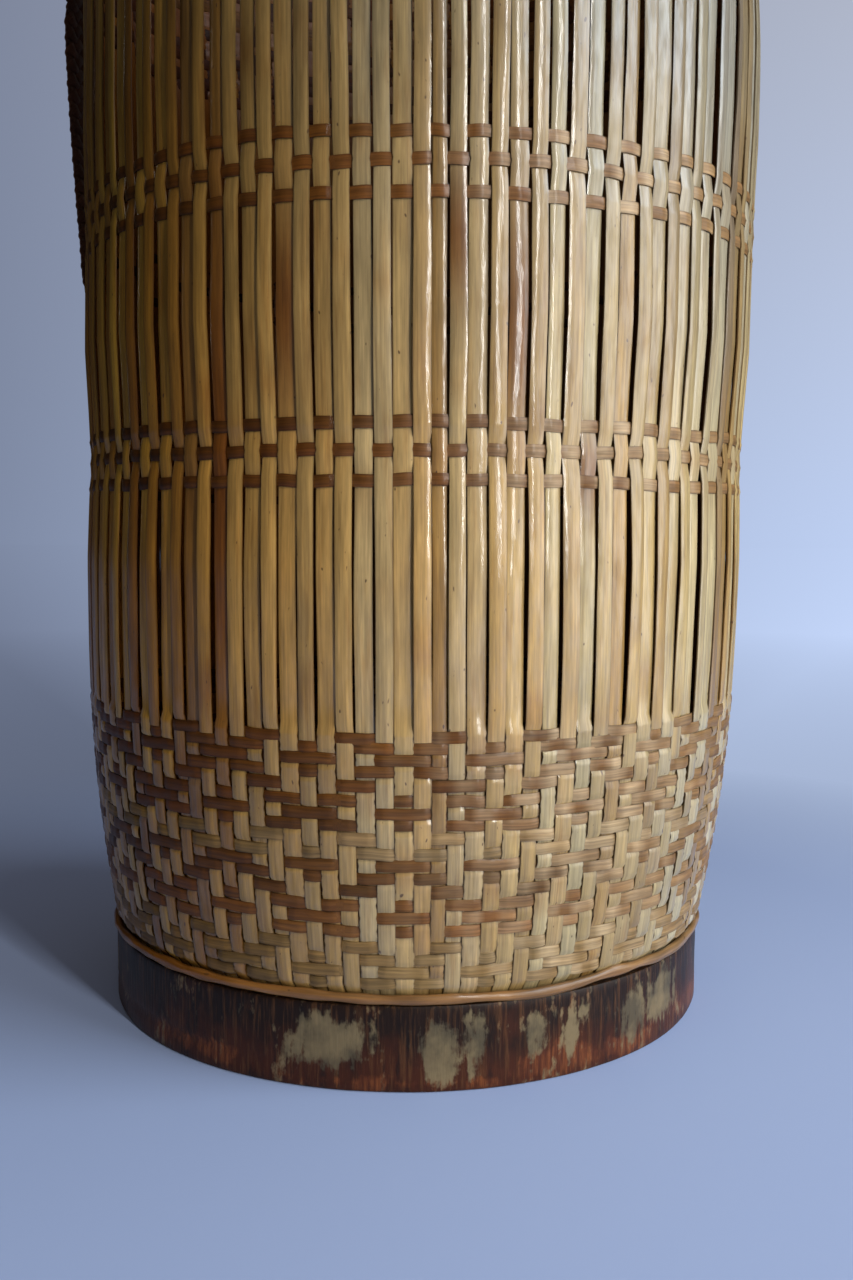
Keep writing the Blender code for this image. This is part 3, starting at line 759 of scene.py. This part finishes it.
def hoop_section(inner, outer):
    """(radius, height) round the foot hoop's section, with softened and worn edges."""
    top, edge = HOOP_HEIGHT, HOOP_EDGE
    lower = [(inner + 0.4 * edge, 0), (outer - 1.1 * edge, 0), (outer - 0.3 * edge, 0.3 * edge)]
    face = [(outer, z) for z in np.linspace(edge, top - edge, 13)]
    upper = [(radius, top - z) for radius, z in reversed(lower)]
    return [(inner, edge)] + lower + face + upper + [(inner, top - edge), (inner, top / 2)]


def hoop_bounds(angle):
    """Inner and outer radius of the hoop's strip, whose ends are thinned where they lap over each other."""
    inner, outer = HOOP_OUTER - HOOP_THICKNESS, HOOP_OUTER
    taper = HOOP_THICKNESS - LAP_OUTER_END - LAP_INNER_END
    start = (angle - LAP_START) / LAP_SPAN
    end = (angle - TURN - LAP_START) / LAP_SPAN
    if start < 1:
        outer = inner + LAP_OUTER_END + taper * start
    if end > 0:
        inner = inner + LAP_INNER_END + taper * end
    return inner, outer


def nearest_place(places, direction, height):
    """1 in the middle of the nearest of some oval places on the hoop's face, falling to 0 outside them."""
    near = np.zeros(direction.shape)
    for middle, middle_z, reach, reach_z in places:
        turn = (direction - middle + 180) % 360 - 180
        along = np.radians(turn) * HOOP_OUTER / (reach * MM)
        up = (height - middle_z * MM) / (reach_z * MM)
        near = np.maximum(near, np.clip(1.55 - np.sqrt(along**2 + up**2), 0, 1))
    return near


def make_foot_hoop():
    """The bent strip of wood with its thinned ends lapped at the back, its outside slightly uneven."""
    rng = np.random.default_rng(5)
    around = np.linspace(LAP_START, LAP_START + LAP_SPAN + TURN, 430)[:, None]
    rings = np.array([hoop_section(*hoop_bounds(angle)) for angle in around[:, 0]])
    heights = rings[..., 1]
    outside = rings[..., 0] > HOOP_OUTER - 2 * MM
    dents = 0.1 * MM * ring_wander(rng, around, 3, 22) * outside
    groove_z = GROOVE_Z + 0.5 * MM * np.sin(around * 2.6)
    groove = np.exp(-(((heights - groove_z) / (0.75 * MM)) ** 2)) * outside
    left_front = np.clip(np.cos(around - GROOVE_ANGLE) * 6 - 4.6, 0, 1)
    radius = rings[..., 0] + dents * np.sin(around * 9 + heights * 300) - GROOVE_DEPTH * groove * left_front
    places = polar(radius, around, heights, leaning=False)
    direction = np.degrees(around) + 0 * heights
    wear = nearest_place(WORN_PLACES, direction, heights)
    rust = nearest_place(RUSTY_PLACES, direction, heights)
    marks = np.stack([wear, rust, heights / HOOP_HEIGHT], axis=-1).reshape(-1, 3)
    index = np.arange(heights.size).reshape(heights.shape)
    faces = [quads_between(index[:-1], index[1:]), index[0][None, ::-1], index[-1][None, :]]
    thing = mesh_of("foot_hoop_wood", places.reshape(-1, 3), faces, marks, 32)
    return stands_for(thing, "foot_hoop")


def make_base():
    """The woven mat of the base, flat strips over and under each other, cut round."""
    rng = np.random.default_rng(21)
    places, across, tints = [], [], []
    for turn in (0, 1):
        for i, line in enumerate(np.arange(-20, 21) * MAT_PITCH):
            reach = math.sqrt(max(MAT_RADIUS**2 - line**2, (4 * MM) ** 2))
            along = np.linspace(-reach, reach, 96)
            wave = np.cos(math.pi * along / MAT_PITCH) * (1 if (i + turn) % 2 else -1)
            height = MAT_Z - MAT_SWAY * wave
            flat = np.full(len(along), line) + 0.2 * MM * wander(rng, 1, along, 0.06)[0]
            point = (along, flat) if turn else (flat, along)
            places.append(np.stack([*point, height], axis=-1))
            across.append((0.0, 1.0, 0.0) if turn else (1.0, 0.0, 0.0))
            tints.append((STRAW if turn else HONEY) * rng.uniform(0.75, 1.0))
    centre, side, tint = np.array(places), np.array(across)[:, None], np.array(tints)[:, None]
    up = upright(np.zeros((1, 1)))
    width, thick = MAT_STRIP
    thing = strands("base_weave", centre, side, up, width, thick, tint, crowned(5, 0.4))
    return stands_for(thing, "base_mat")


def make_foot():
    """The hoop, the ring inside it, the cane bound round its top edge, and the mat."""
    radius = HOOP_OUTER - HOOP_THICKNESS - 2.25 * MM
    size = (8.2 * MM, 3.8 * MM)
    inner = ring_strand("foot_inner_ring", radius, 4.95 * MM, size, MEDIUM_BROWN, crowned(5, 0.25), 31, 180)
    stands_for(inner, "foot_inner_hoop")
    # The binding cane takes the side's painted shade on the left and painted sheen on the right
    tints = BINDING_CANE * side_painted_light(np.linspace(0, TURN, 620, endpoint=False))
    radius, z, size, rough = 96.3 * MM, 25.7 * MM, (2.9 * MM, 2.3 * MM), 0.62 * MM
    binding = ring_strand("foot_binding_cane", radius, z, size, tints, oval(10), 33, len(tints), rough)
    stands_for(binding, "foot_cane_binding")
    return [make_foot_hoop(), inner, binding, make_base()]


# Rim


def rim_outline(share):
    """(radius, height) round the rim's winding: up the outside, over the cap, down inside and underneath."""
    low, middle = RIM_LOW - 0.6 * MM, (RIM_OUTER + RIM_INNER) / 2
    outside = [(RIM_OUTER, z) for z in (low + 1 * MM, 394 * MM, 400 * MM, RIM_SHOULDER)]
    outside += [(RIM_OUTER - 1.6 * MM, RIM_BEVEL_Z), (middle + 2.6 * MM, RIM_TOP - 1.3 * MM)]
    inside = [(2 * middle - radius, z) for radius, z in reversed(outside)]
    under = [(RIM_INNER + 1 * MM, low), (RIM_OUTER - 1 * MM, low)]
    corners = np.array(outside + [(middle, RIM_TOP - 0.3 * MM)] + inside + under)
    place = (share % 1) * len(corners)
    first = np.floor(place).astype(int) % len(corners)
    part = (place - np.floor(place))[..., None]
    return corners[first] * (1 - part) + corners[(first + 1) % len(corners)] * part


def make_rim_winding():
    """One flat cane wound 130 times round the rim's hoops, a turn for each stake."""
    rng = np.random.default_rng(41)
    turn = np.arange(STAKE_COUNT * STATIONS_PER_WINDING) / STATIONS_PER_WINDING
    nearby = 0.25 / STATIONS_PER_WINDING
    angle = stake_angle(turn)
    outline = rim_outline(turn)
    path = unit(rim_outline(turn + nearby) - rim_outline(turn - nearby))
    out = radial(angle) * path[:, 1:2] - upright(angle) * path[:, 0:1]
    width = (outline[:, 0] * PITCH * 0.93) * (1 + 0.03 * wander(rng, 1, turn, 9.0)[0])
    shade = 1 + 0.12 * wander(rng, 1, turn, 3.7)[0] + 0.06 * wander(rng, 1, turn, 40.0)[0]
    tint = RIM_CANE * shade[:, None]
    centre = polar(outline[:, 0] - 0.05 * MM, angle, outline[:, 1], leaning=False)
    across = tangential(angle)
    return strand("rim_winding", centre, across, out, width, THIN_CANE, tint, crowned(5, 0.4), looped=True)


def make_rim():
    """Two flat hoops that clamp the stakes' ends, a round cane along their top, and the winding over all."""
    middle = (RIM_HIGH + RIM_LOW) / 2
    flat, round_ = (RIM_HIGH - RIM_LOW, 4.3 * MM), (5.6 * MM, 5.6 * MM)
    hoops = (
        ("rim_outer_strip", "rim_outer_hoop", 108.4 * MM, middle, flat, crowned(5, 0.3), 43),
        ("rim_inner_strip", "rim_inner_hoop", 100.2 * MM, middle, flat, crowned(5, 0.3), 44),
        ("rim_cap_strip", "rim_cap_cane", 104.35 * MM, 408.2 * MM, round_, oval(10), 45),
    )
    made = []
    for name, node, radius, z, size, section, seed in hoops:
        hoop = ring_strand(name, radius, z, size, HONEY * 0.8, section, seed, 200)
        made.append(stands_for(hoop, node))
    return made + [stands_for(make_rim_winding(), "rim_wrapping")]


# Strap


def bow_distance(z):
    """How far the strap's middle line stands out from the line through its two loops."""
    end = np.where(z < STRAP_BOW_PEAK_Z, LOWER_LOOP_Z, UPPER_LOOP_Z)
    share = np.minimum(1.0, (z - STRAP_BOW_PEAK_Z) / (end - STRAP_BOW_PEAK_Z))
    return EYE_RADIUS + STRAP_BOW * np.cos(share * math.pi / 2) ** 2


def strap_half_width(z):
    """Half the strap's width: narrow at the eyes and necks, and full between them."""
    reach = np.minimum(z - LOWER_LOOP_Z, UPPER_LOOP_Z - z)
    full = np.where(z < STRAP_BOW_PEAK_Z, *STRAP_FULL_WIDTH_AT)
    widening = STRAP_NECK_HALF_WIDTH - STRAP_EYE_HALF_WIDTH
    neck = STRAP_EYE_HALF_WIDTH + widening * np.clip(reach / STRAP_NECK_END, 0, 1)
    return neck + (STRAP_HALF_WIDTH - STRAP_NECK_HALF_WIDTH) * smooth(rise(reach, STRAP_NECK_END, full))


def strap_line():
    """(distance, height) of the strap's middle line: an eye round each loop and the bow between them."""
    ends = []
    for loop_z, upward in ((LOWER_LOOP_Z, 1), (UPPER_LOOP_Z, -1)):
        lap = [loop_z + upward * reach * MM for reach in (19, 14, 9.5)]
        end = [(bow_distance(z) - 2.3 * MM, z) for z in lap]
        end.append((-EYE_RADIUS * 0.55, loop_z + upward * 4.9 * MM))
        for turn in np.linspace(math.pi, TURN, 11):
            end.append((EYE_RADIUS * math.cos(turn), loop_z + upward * EYE_RADIUS * math.sin(turn)))
        ends.append(end)
    bow = [(bow_distance(z), z) for z in np.linspace(LOWER_LOOP_Z, UPPER_LOOP_Z, 72)[1:-1]]
    return np.array(ends[0] + bow + ends[1][::-1])


def resampled(line, count):
    """The line at even steps, and the distance of each step along it."""
    steps = np.concatenate([[0], np.cumsum(np.linalg.norm(np.diff(line, axis=0), axis=1))])
    places = np.linspace(0, steps[-1], count)
    return np.stack([np.interp(places, steps, line[:, k]) for k in range(line.shape[1])], axis=-1), places


def strap_vector(outward, sideways, upward):
    """A vector (..., 3) from its parts along the strap's own directions."""
    parts = ((outward, radial), (sideways, tangential), (upward, upright))
    return sum(np.asarray(part)[..., None] * direction(STRAP_ANGLE) for part, direction in parts)


def make_plait():
    """A flat plait of nine bark strands that swings on the two loops."""
    rng = np.random.default_rng(51)
    line, length = resampled(strap_line(), 560)
    along = unit(np.gradient(line, axis=0))
    normal = np.stack([along[:, 1], -along[:, 0]], axis=-1)
    at_eye = (line[:, 1] < LOWER_LOOP_Z) | (line[:, 1] > UPPER_LOOP_Z)
    half = np.where(at_eye, STRAP_EYE_HALF_WIDTH, strap_half_width(line[:, 1]))
    strand_width = np.maximum(half * 0.34, 1 * MM)
    phase = (length / PLAIT_PERIOD)[None, :] + np.arange(PLAIT_STRANDS)[:, None] / PLAIT_STRANDS
    swing = np.clip(2.4 / math.pi * np.arcsin(0.985 * np.sin(TURN * phase)), -1, 1)
    side = swing * (half - strand_width * 0.42)
    crossing = np.cos(TURN * PLAIT_STRANDS * (phase + 0.25))
    lift = PLAIT_LIFT * crossing * np.clip(np.cos(TURN * phase) * 5, -1, 1)
    lift = lift + 0.06 * MM * wander(rng, PLAIT_STRANDS, length, 0.03)
    distance, height = (line[None, :, k] + normal[None, :, k] * lift for k in (0, 1))
    centre = strap_vector(distance + STRAP_AXIS_RADIUS, side, height)
    travel = unit(np.gradient(centre, axis=1))
    away = strap_vector(normal[None, :, 0], 0.0, normal[None, :, 1])
    across = unit(np.cross(travel, np.broadcast_to(away, travel.shape)))
    away = np.cross(across, travel)
    width = np.broadcast_to(strand_width, side.shape) * (1 + 0.08 * wander(rng, PLAIT_STRANDS, length, 0.05))
    shade = 1 + 0.25 * wander(rng, PLAIT_STRANDS, length, 0.04)
    tint = STRAP_BROWN * shade[..., None]
    return strands("strap_plait", centre, across, away, width, STRAND_THICKNESS, tint, crowned(5, 0.45))


def make_tie(name, loop_z, upward):
    """A thin cane wound five times round the strap's neck."""
    share = np.arange(TIE_TURNS * TIE_STATIONS + 1) / (TIE_TURNS * TIE_STATIONS)
    z = loop_z + upward * (TIE_START + TIE_SPAN * share)
    spin = share * TIE_TURNS * TURN
    half = strap_half_width(z) + 1.2 * MM
    side, deep = (np.sign(turn) * np.abs(turn) ** TIE_SQUARENESS for turn in (np.cos(spin), np.sin(spin)))
    distance = bow_distance(z) - 1.15 * MM + TIE_DEPTH * deep
    centre = strap_vector(distance + STRAP_AXIS_RADIUS, half * side, z)
    up = upright(z)
    away = unit(np.cross(up, unit(np.gradient(centre, axis=0))))
    return strand(name, centre, up, away, TIE_WIDTH, THIN_CANE, DARK_BROWN * 0.7, oval(8))


def make_loop(name, z):
    """A staple of round cane whose legs reach in between the stakes."""
    spread = 105.2 * MM * math.sin(2 * PITCH)
    points = [(LOOP_LEG_RADIUS, -spread)]
    for turn in np.linspace(0, math.pi / 2, 7):
        distance = STRAP_AXIS_RADIUS - LOOP_CORNER + LOOP_CORNER * math.sin(turn)
        points.append((distance, -spread + LOOP_CORNER - LOOP_CORNER * math.cos(turn)))
    points += [(distance, -side) for distance, side in reversed(points)]
    distances, sides = np.array(points).T
    centre = strap_vector(distances, sides, np.full(len(points), z))
    up = upright(sides)
    away = np.cross(unit(np.gradient(centre, axis=0)), up)
    return strand(name, centre, up, away, LOOP_CANE, LOOP_CANE, DARK_BROWN * 0.8, oval(12))


def make_strap():
    made = [stands_for(make_plait(), "carrying_strap")]
    ties = (("strap_tie_lower", LOWER_LOOP_Z, 1), ("strap_tie_upper", UPPER_LOOP_Z, -1))
    for node, loop_z, upward in ties:
        made.append(stands_for(make_tie(f"{node}_cane", loop_z, upward), node))
    return made


def make_loops():
    places = (("strap_loop_lower", LOWER_LOOP_Z), ("strap_loop_upper", UPPER_LOOP_Z))
    return [stands_for(make_loop(f"{name}_cane", z), name) for name, z in places]


# Materials


class Nodes:
    """Short ways to add and feed the nodes of one material or world."""

    def __init__(self, owner):
        owner.use_nodes = True
        self.owner = owner
        self.tree = owner.node_tree
        self.shader = self.tree.nodes.get("Principled BSDF")

    def feed(self, socket, value):
        """Joins another node's output to a socket, or sets a value on it."""
        if isinstance(value, bpy.types.NodeSocket):
            self.tree.links.new(value, socket)
        else:
            socket.default_value = (*value, 1) if isinstance(value, np.ndarray) else value

    def fill_in(self, node, *sources, **values):
        """Sets a node's properties and sockets by name, and its first sockets in their order."""
        for key, value in values.items():
            if hasattr(node, key):
                setattr(node, key, value)
            else:
                self.feed(node.inputs[key.replace("_", " ")], value)
        for socket, source in zip(node.inputs, sources):
            self.feed(socket, source)
        return node.outputs

    def add(self, kind, *sources, **values):
        return self.fill_in(self.tree.nodes.new("ShaderNode" + kind), *sources, **values)

    def attribute(self, name):
        return self.add("Attribute", attribute_name=name)

    def noise(self, place, stretch, detail, roughness):
        """Noise of about one lump for each unit of length, after stretching space."""
        stretched = self.add("Mapping", place, Scale=stretch)["Vector"]
        return self.add("TexNoise", stretched, Scale=1.0, Detail=detail, Roughness=roughness)["Fac"]

    def ramp(self, source, low, high, low_value=0.0, high_value=1.0):
        return self.add("MapRange", source, low, high, low_value, high_value)["Result"]

    def maths(self, operation, a, b):
        return self.add("Math", a, b, operation=operation)["Value"]

    def total(self, start, *noises):
        """Sum of a start and some noises, each given with its bounds and the most that it adds."""
        for source, low, high, most in noises:
            start = self.maths("ADD", start, self.ramp(source, low, high, 0.0, most))
        return start

    def scaled(self, colour, value):
        return self.add("VectorMath", colour, operation="SCALE", Scale=value)["Vector"]

    def mix(self, share, a, b, blend_type="MIX"):
        node = self.tree.nodes.new("ShaderNodeMix")
        outputs = self.fill_in(node, share, data_type="RGBA", blend_type=blend_type)
        self.feed(node.inputs[6], a)
        self.feed(node.inputs[7], b)
        return outputs[2]

    def by_side(self, x, left, right):
        return self.mix(self.ramp(x, -WALL_SIDE_SPAN, WALL_SIDE_SPAN), left, right)

    def mix_shaders(self, share, first, second, output):
        shader = self.add("MixShader", share, first, second)["Shader"]
        self.feed(self.tree.nodes[output].inputs["Surface"], shader)

    def bump(self, height, strength, distance, socket="Normal"):
        normal = self.add("Bump", Strength=strength, Distance=distance, Height=height)["Normal"]
        self.feed(self.shader.inputs[socket], normal)


def cane_material(name, roughness, streaks, gloss, coat, coat_roughness, specks=0.0):
    """Split cane: the strand's own tint, streaks along the grain, painted shade along its edges and inner
    faces, small specks and varnish.
    """
    m = Nodes(bpy.data.materials.new(name))
    looks = m.attribute("tint")
    grain = m.attribute("grain")["Vector"]
    fibre = m.noise(grain, (1500, 32, 0), 4.0, 0.6)
    cloud = m.noise(grain, (500, 60, 0), 3.0, 0.6)
    lumps = m.noise(grain, (620, 120, 0), 3.0, 0.6)
    from_middle = m.maths("ABSOLUTE", m.add("SeparateXYZ", grain)["Z"], 0.0)
    value = m.ramp(fibre, 0.3, 0.7, 1 - streaks, 1 + streaks * 0.6)
    # Painted shade along each strand's edges, where the gaps between strands fall dark
    value = m.maths("MULTIPLY", value, m.ramp(from_middle, 0.42, 0.5, 1.0, 0.62))
    value = m.maths("MULTIPLY", value, m.ramp(cloud, 0.3, 0.7, 0.78, 1.16))
    # Painted shade on the inner faces
    value = m.maths("MULTIPLY", value, m.ramp(looks["Alpha"], 0.0, 1.0, INSIDE_SHADE, 1.0))
    stain = m.ramp(m.noise(grain, (240, 24, 0), 4.0, 0.65), 0.52, 0.72, 0.0, 0.5)
    colour = m.mix(stain, m.scaled(looks["Color"], value), rgb(210, 176, 118), "MULTIPLY")
    if specks:
        spot = m.ramp(m.noise(grain, (700, 330, 0), 1.0, 0.5), 0.735, 0.79, 0.0, specks)
        colour = m.mix(spot, colour, rgb(70, 42, 22))
    varnish = m.maths("MULTIPLY", m.ramp(lumps, 0.36, 0.6, 0.35 * coat, coat), looks["Alpha"])
    m.fill_in(m.shader, Base_Color=colour, Roughness=roughness, Specular_IOR_Level=gloss)
    m.fill_in(m.shader, Coat_Weight=varnish, Coat_Roughness=coat_roughness, Coat_IOR=VARNISH_IOR)
    m.bump(fibre, 0.35, 0.0001)
    m.bump(lumps, 0.34, 0.00024, "Coat Normal")
    return m.owner


def foot_material():
    """Old bent wood: near black brown, streaked upright, with pale worn places and rust low on the front."""
    m = Nodes(bpy.data.materials.new("old_hoop_wood"))
    place = m.add("TexCoord")["Object"]
    marks = m.add("SeparateColor", m.attribute("tint")["Color"])
    fibre = m.noise(place, (950, 950, 70), 4.0, 0.65)
    streak = m.noise(place, (330, 330, 70), 4.0, 0.6)
    cloud = m.noise(place, (75, 75, 60), 4.0, 0.6)
    fine = m.noise(place, (500, 500, 300), 3.0, 0.6)
    low = m.ramp(marks["Blue"], 0.2, 0.8, 0.24, -0.12)
    base = m.mix(m.ramp(m.maths("ADD", cloud, low), 0.42, 0.68), rgb(35, 21, 12), rgb(68, 33, 16))
    base = m.mix(m.ramp(streak, 0.5, 0.62, 0.0, 0.7), base, rgb(23, 16, 12))
    base = m.mix(m.ramp(fibre, 0.5, 0.66, 0.0, 0.5), base, rgb(104, 68, 38))
    ragged = ((streak, 0.4, 0.62, 0.6), (cloud, 0.42, 0.58, 0.8), (fine, 0.4, 0.6, 0.3))
    rusty = m.ramp(m.total(marks["Green"], *ragged), 1.25, 1.8, 0.0, 0.85)
    base = m.mix(rusty, base, m.mix(m.ramp(fibre, 0.4, 0.64), rgb(80, 40, 22), rgb(132, 74, 37)))
    ragged = ((streak, 0.38, 0.62, 0.55), (cloud, 0.38, 0.62, 0.5), (fine, 0.35, 0.65, 0.45))
    worn = m.ramp(m.total(marks["Red"], *ragged), 1.02, 1.42, 0.0, 0.86)
    base = m.mix(worn, base, m.mix(m.ramp(cloud, 0.42, 0.6), rgb(88, 79, 60), rgb(132, 116, 84)))
    m.fill_in(m.shader, Base_Color=base, Roughness=0.42, Specular_IOR_Level=0.2)
    m.bump(m.maths("ADD", fibre, streak), 0.5, 0.0003)
    return m.owner


def strap_material():
    m = Nodes(bpy.data.materials.new("bark_plait"))
    fibre = m.noise(m.attribute("grain")["Vector"], (3000, 180, 0), 5.0, 0.7)
    colour = m.scaled(m.attribute("tint")["Color"], m.ramp(fibre, 0.3, 0.7, 0.55, 1.5))
    m.fill_in(m.shader, Base_Color=colour, Roughness=0.55)
    m.bump(fibre, 0.6, 0.0003)
    return m.owner


def dress(pieces, finish):
    for piece in pieces:
        piece.data.materials.clear()
        piece.data.materials.append(finish)


# Stage


def floor_material():
    """Pale bluish ground that takes the basket's shadow and far off glows in the colour of the wall, with
    its painted light and shade.
    """
    m = Nodes(bpy.data.materials.new("pale_floor"))
    m.fill_in(m.shader, Base_Color=FLOOR_TINT, Roughness=0.7, Specular_IOR_Level=0.2)
    place = m.add("TexCoord")["Object"]
    direction = m.add("VectorMath", place, operation="NORMALIZE")["Vector"]
    wall = m.by_side(m.add("SeparateXYZ", direction)["X"], WALL_LEFT, WALL_RIGHT)
    distance = m.add("VectorMath", place, operation="LENGTH")["Value"]
    glow = m.add("Emission", wall, m.ramp(distance, 0.28, 1.6, 0.68, 1.0))["Emission"]
    seen = m.add("LightPath")["Is Camera Ray"]
    far = m.maths("MULTIPLY", m.ramp(distance, 0.2, 0.42), seen)
    m.mix_shaders(far, m.shader.outputs["BSDF"], glow, "Material Output")
    return m.owner


def make_floor():
    bpy.ops.mesh.primitive_grid_add(x_subdivisions=8, y_subdivisions=8, size=30)
    floor = bpy.context.object
    floor.name = "studio_floor"
    floor.location.x = AXIS_X
    floor.data.materials.append(floor_material())
    floor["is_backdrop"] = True


def make_world():
    """The wall behind the basket, for the camera only, with painted light and shade, and a soft fill, mostly
    from above at the right.
    """
    m = Nodes(bpy.data.worlds.new("studio"))
    bpy.context.scene.world = m.owner
    place = m.add("TexCoord")["Generated"]
    bright = m.add("VectorMath", place, Vector(FILL_SIDE).normalized(), operation="DOT_PRODUCT")["Value"]
    share = m.ramp(bright, -0.3, 1.0)
    fill = m.tree.nodes["Background"]
    colour = m.mix(share, FILL_DARK_COLOUR, FILL_BRIGHT_COLOUR)
    m.fill_in(fill, colour, m.ramp(share, 0.0, 1.0, *FILL_STRENGTHS))
    split = m.add("SeparateXYZ", place)
    low = m.by_side(split["X"], WALL_LEFT, WALL_RIGHT)
    high = m.by_side(split["X"], HIGH_WALL_LEFT, HIGH_WALL_RIGHT)
    wall = m.add("Background", m.mix(m.ramp(split["Z"], 0.0, 0.37), low, high))
    seen = m.add("LightPath")["Is Camera Ray"]
    m.mix_shaders(seen, fill.outputs["Background"], wall["Background"], "World Output")


def make_lights():
    for name, (place, target, size, power, colour) in LAMPS.items():
        light = bpy.data.lights.new(name, "AREA")
        light.shape = "RECTANGLE"
        light.size, light.size_y = size
        light.energy = power
        light.color = colour
        lamp = placed(name, light)
        lamp.location = Vector(place) + Vector((AXIS_X, 0, 0))
        lamp.rotation_euler = (Vector(target) - Vector(place)).to_track_quat("-Z", "Y").to_euler()


def make_camera():
    data = bpy.data.cameras.new("camera")
    data.lens = 35
    data.sensor_width = 36
    data.clip_start = 0.01
    data.clip_end = 50
    camera = placed("camera", data)
    turn = Matrix.Rotation(-CAMERA_YAW, 4, "Z") @ Matrix.Rotation(math.pi / 2 - CAMERA_PITCH, 4, "X")
    turn = turn @ Matrix.Rotation(CAMERA_ROLL, 4, "Z")
    camera.matrix_world = Matrix.Translation((AXIS_X, -CAMERA_DISTANCE, CAMERA_HEIGHT)) @ turn
    bpy.context.scene.camera = camera


def corners():
    return [list(corner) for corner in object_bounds()]


def main():
    for thing in list(bpy.data.objects):
        bpy.data.objects.remove(thing)
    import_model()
    wall = make_wall()
    foot = make_foot()
    rim = make_rim()
    loops = make_loops()
    strap = make_strap()
    dress(wall[:1] + foot[3:], cane_material("stake_bamboo", 0.45, 0.3, 0.3, 1.0, 0.16, 0.8))
    dress(wall[1:] + loops + strap[1:], cane_material("weft_cane", 0.5, 0.42, 0.15, 0.3, 0.22))
    dress(rim + foot[1:3], cane_material("honey_cane", 0.36, 0.3, 0.3, 0.5, 0.2, 0.6))
    dress(foot[:1], foot_material())
    dress(strap[:1], strap_material())
    for piece in wall + foot + rim + loops:
        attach(piece, "basket")
    for piece in strap:
        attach(piece, "strap")
    make_floor()
    make_world()
    make_lights()
    make_camera()
    bpy.context.scene.view_settings.view_transform = "Standard"


main()
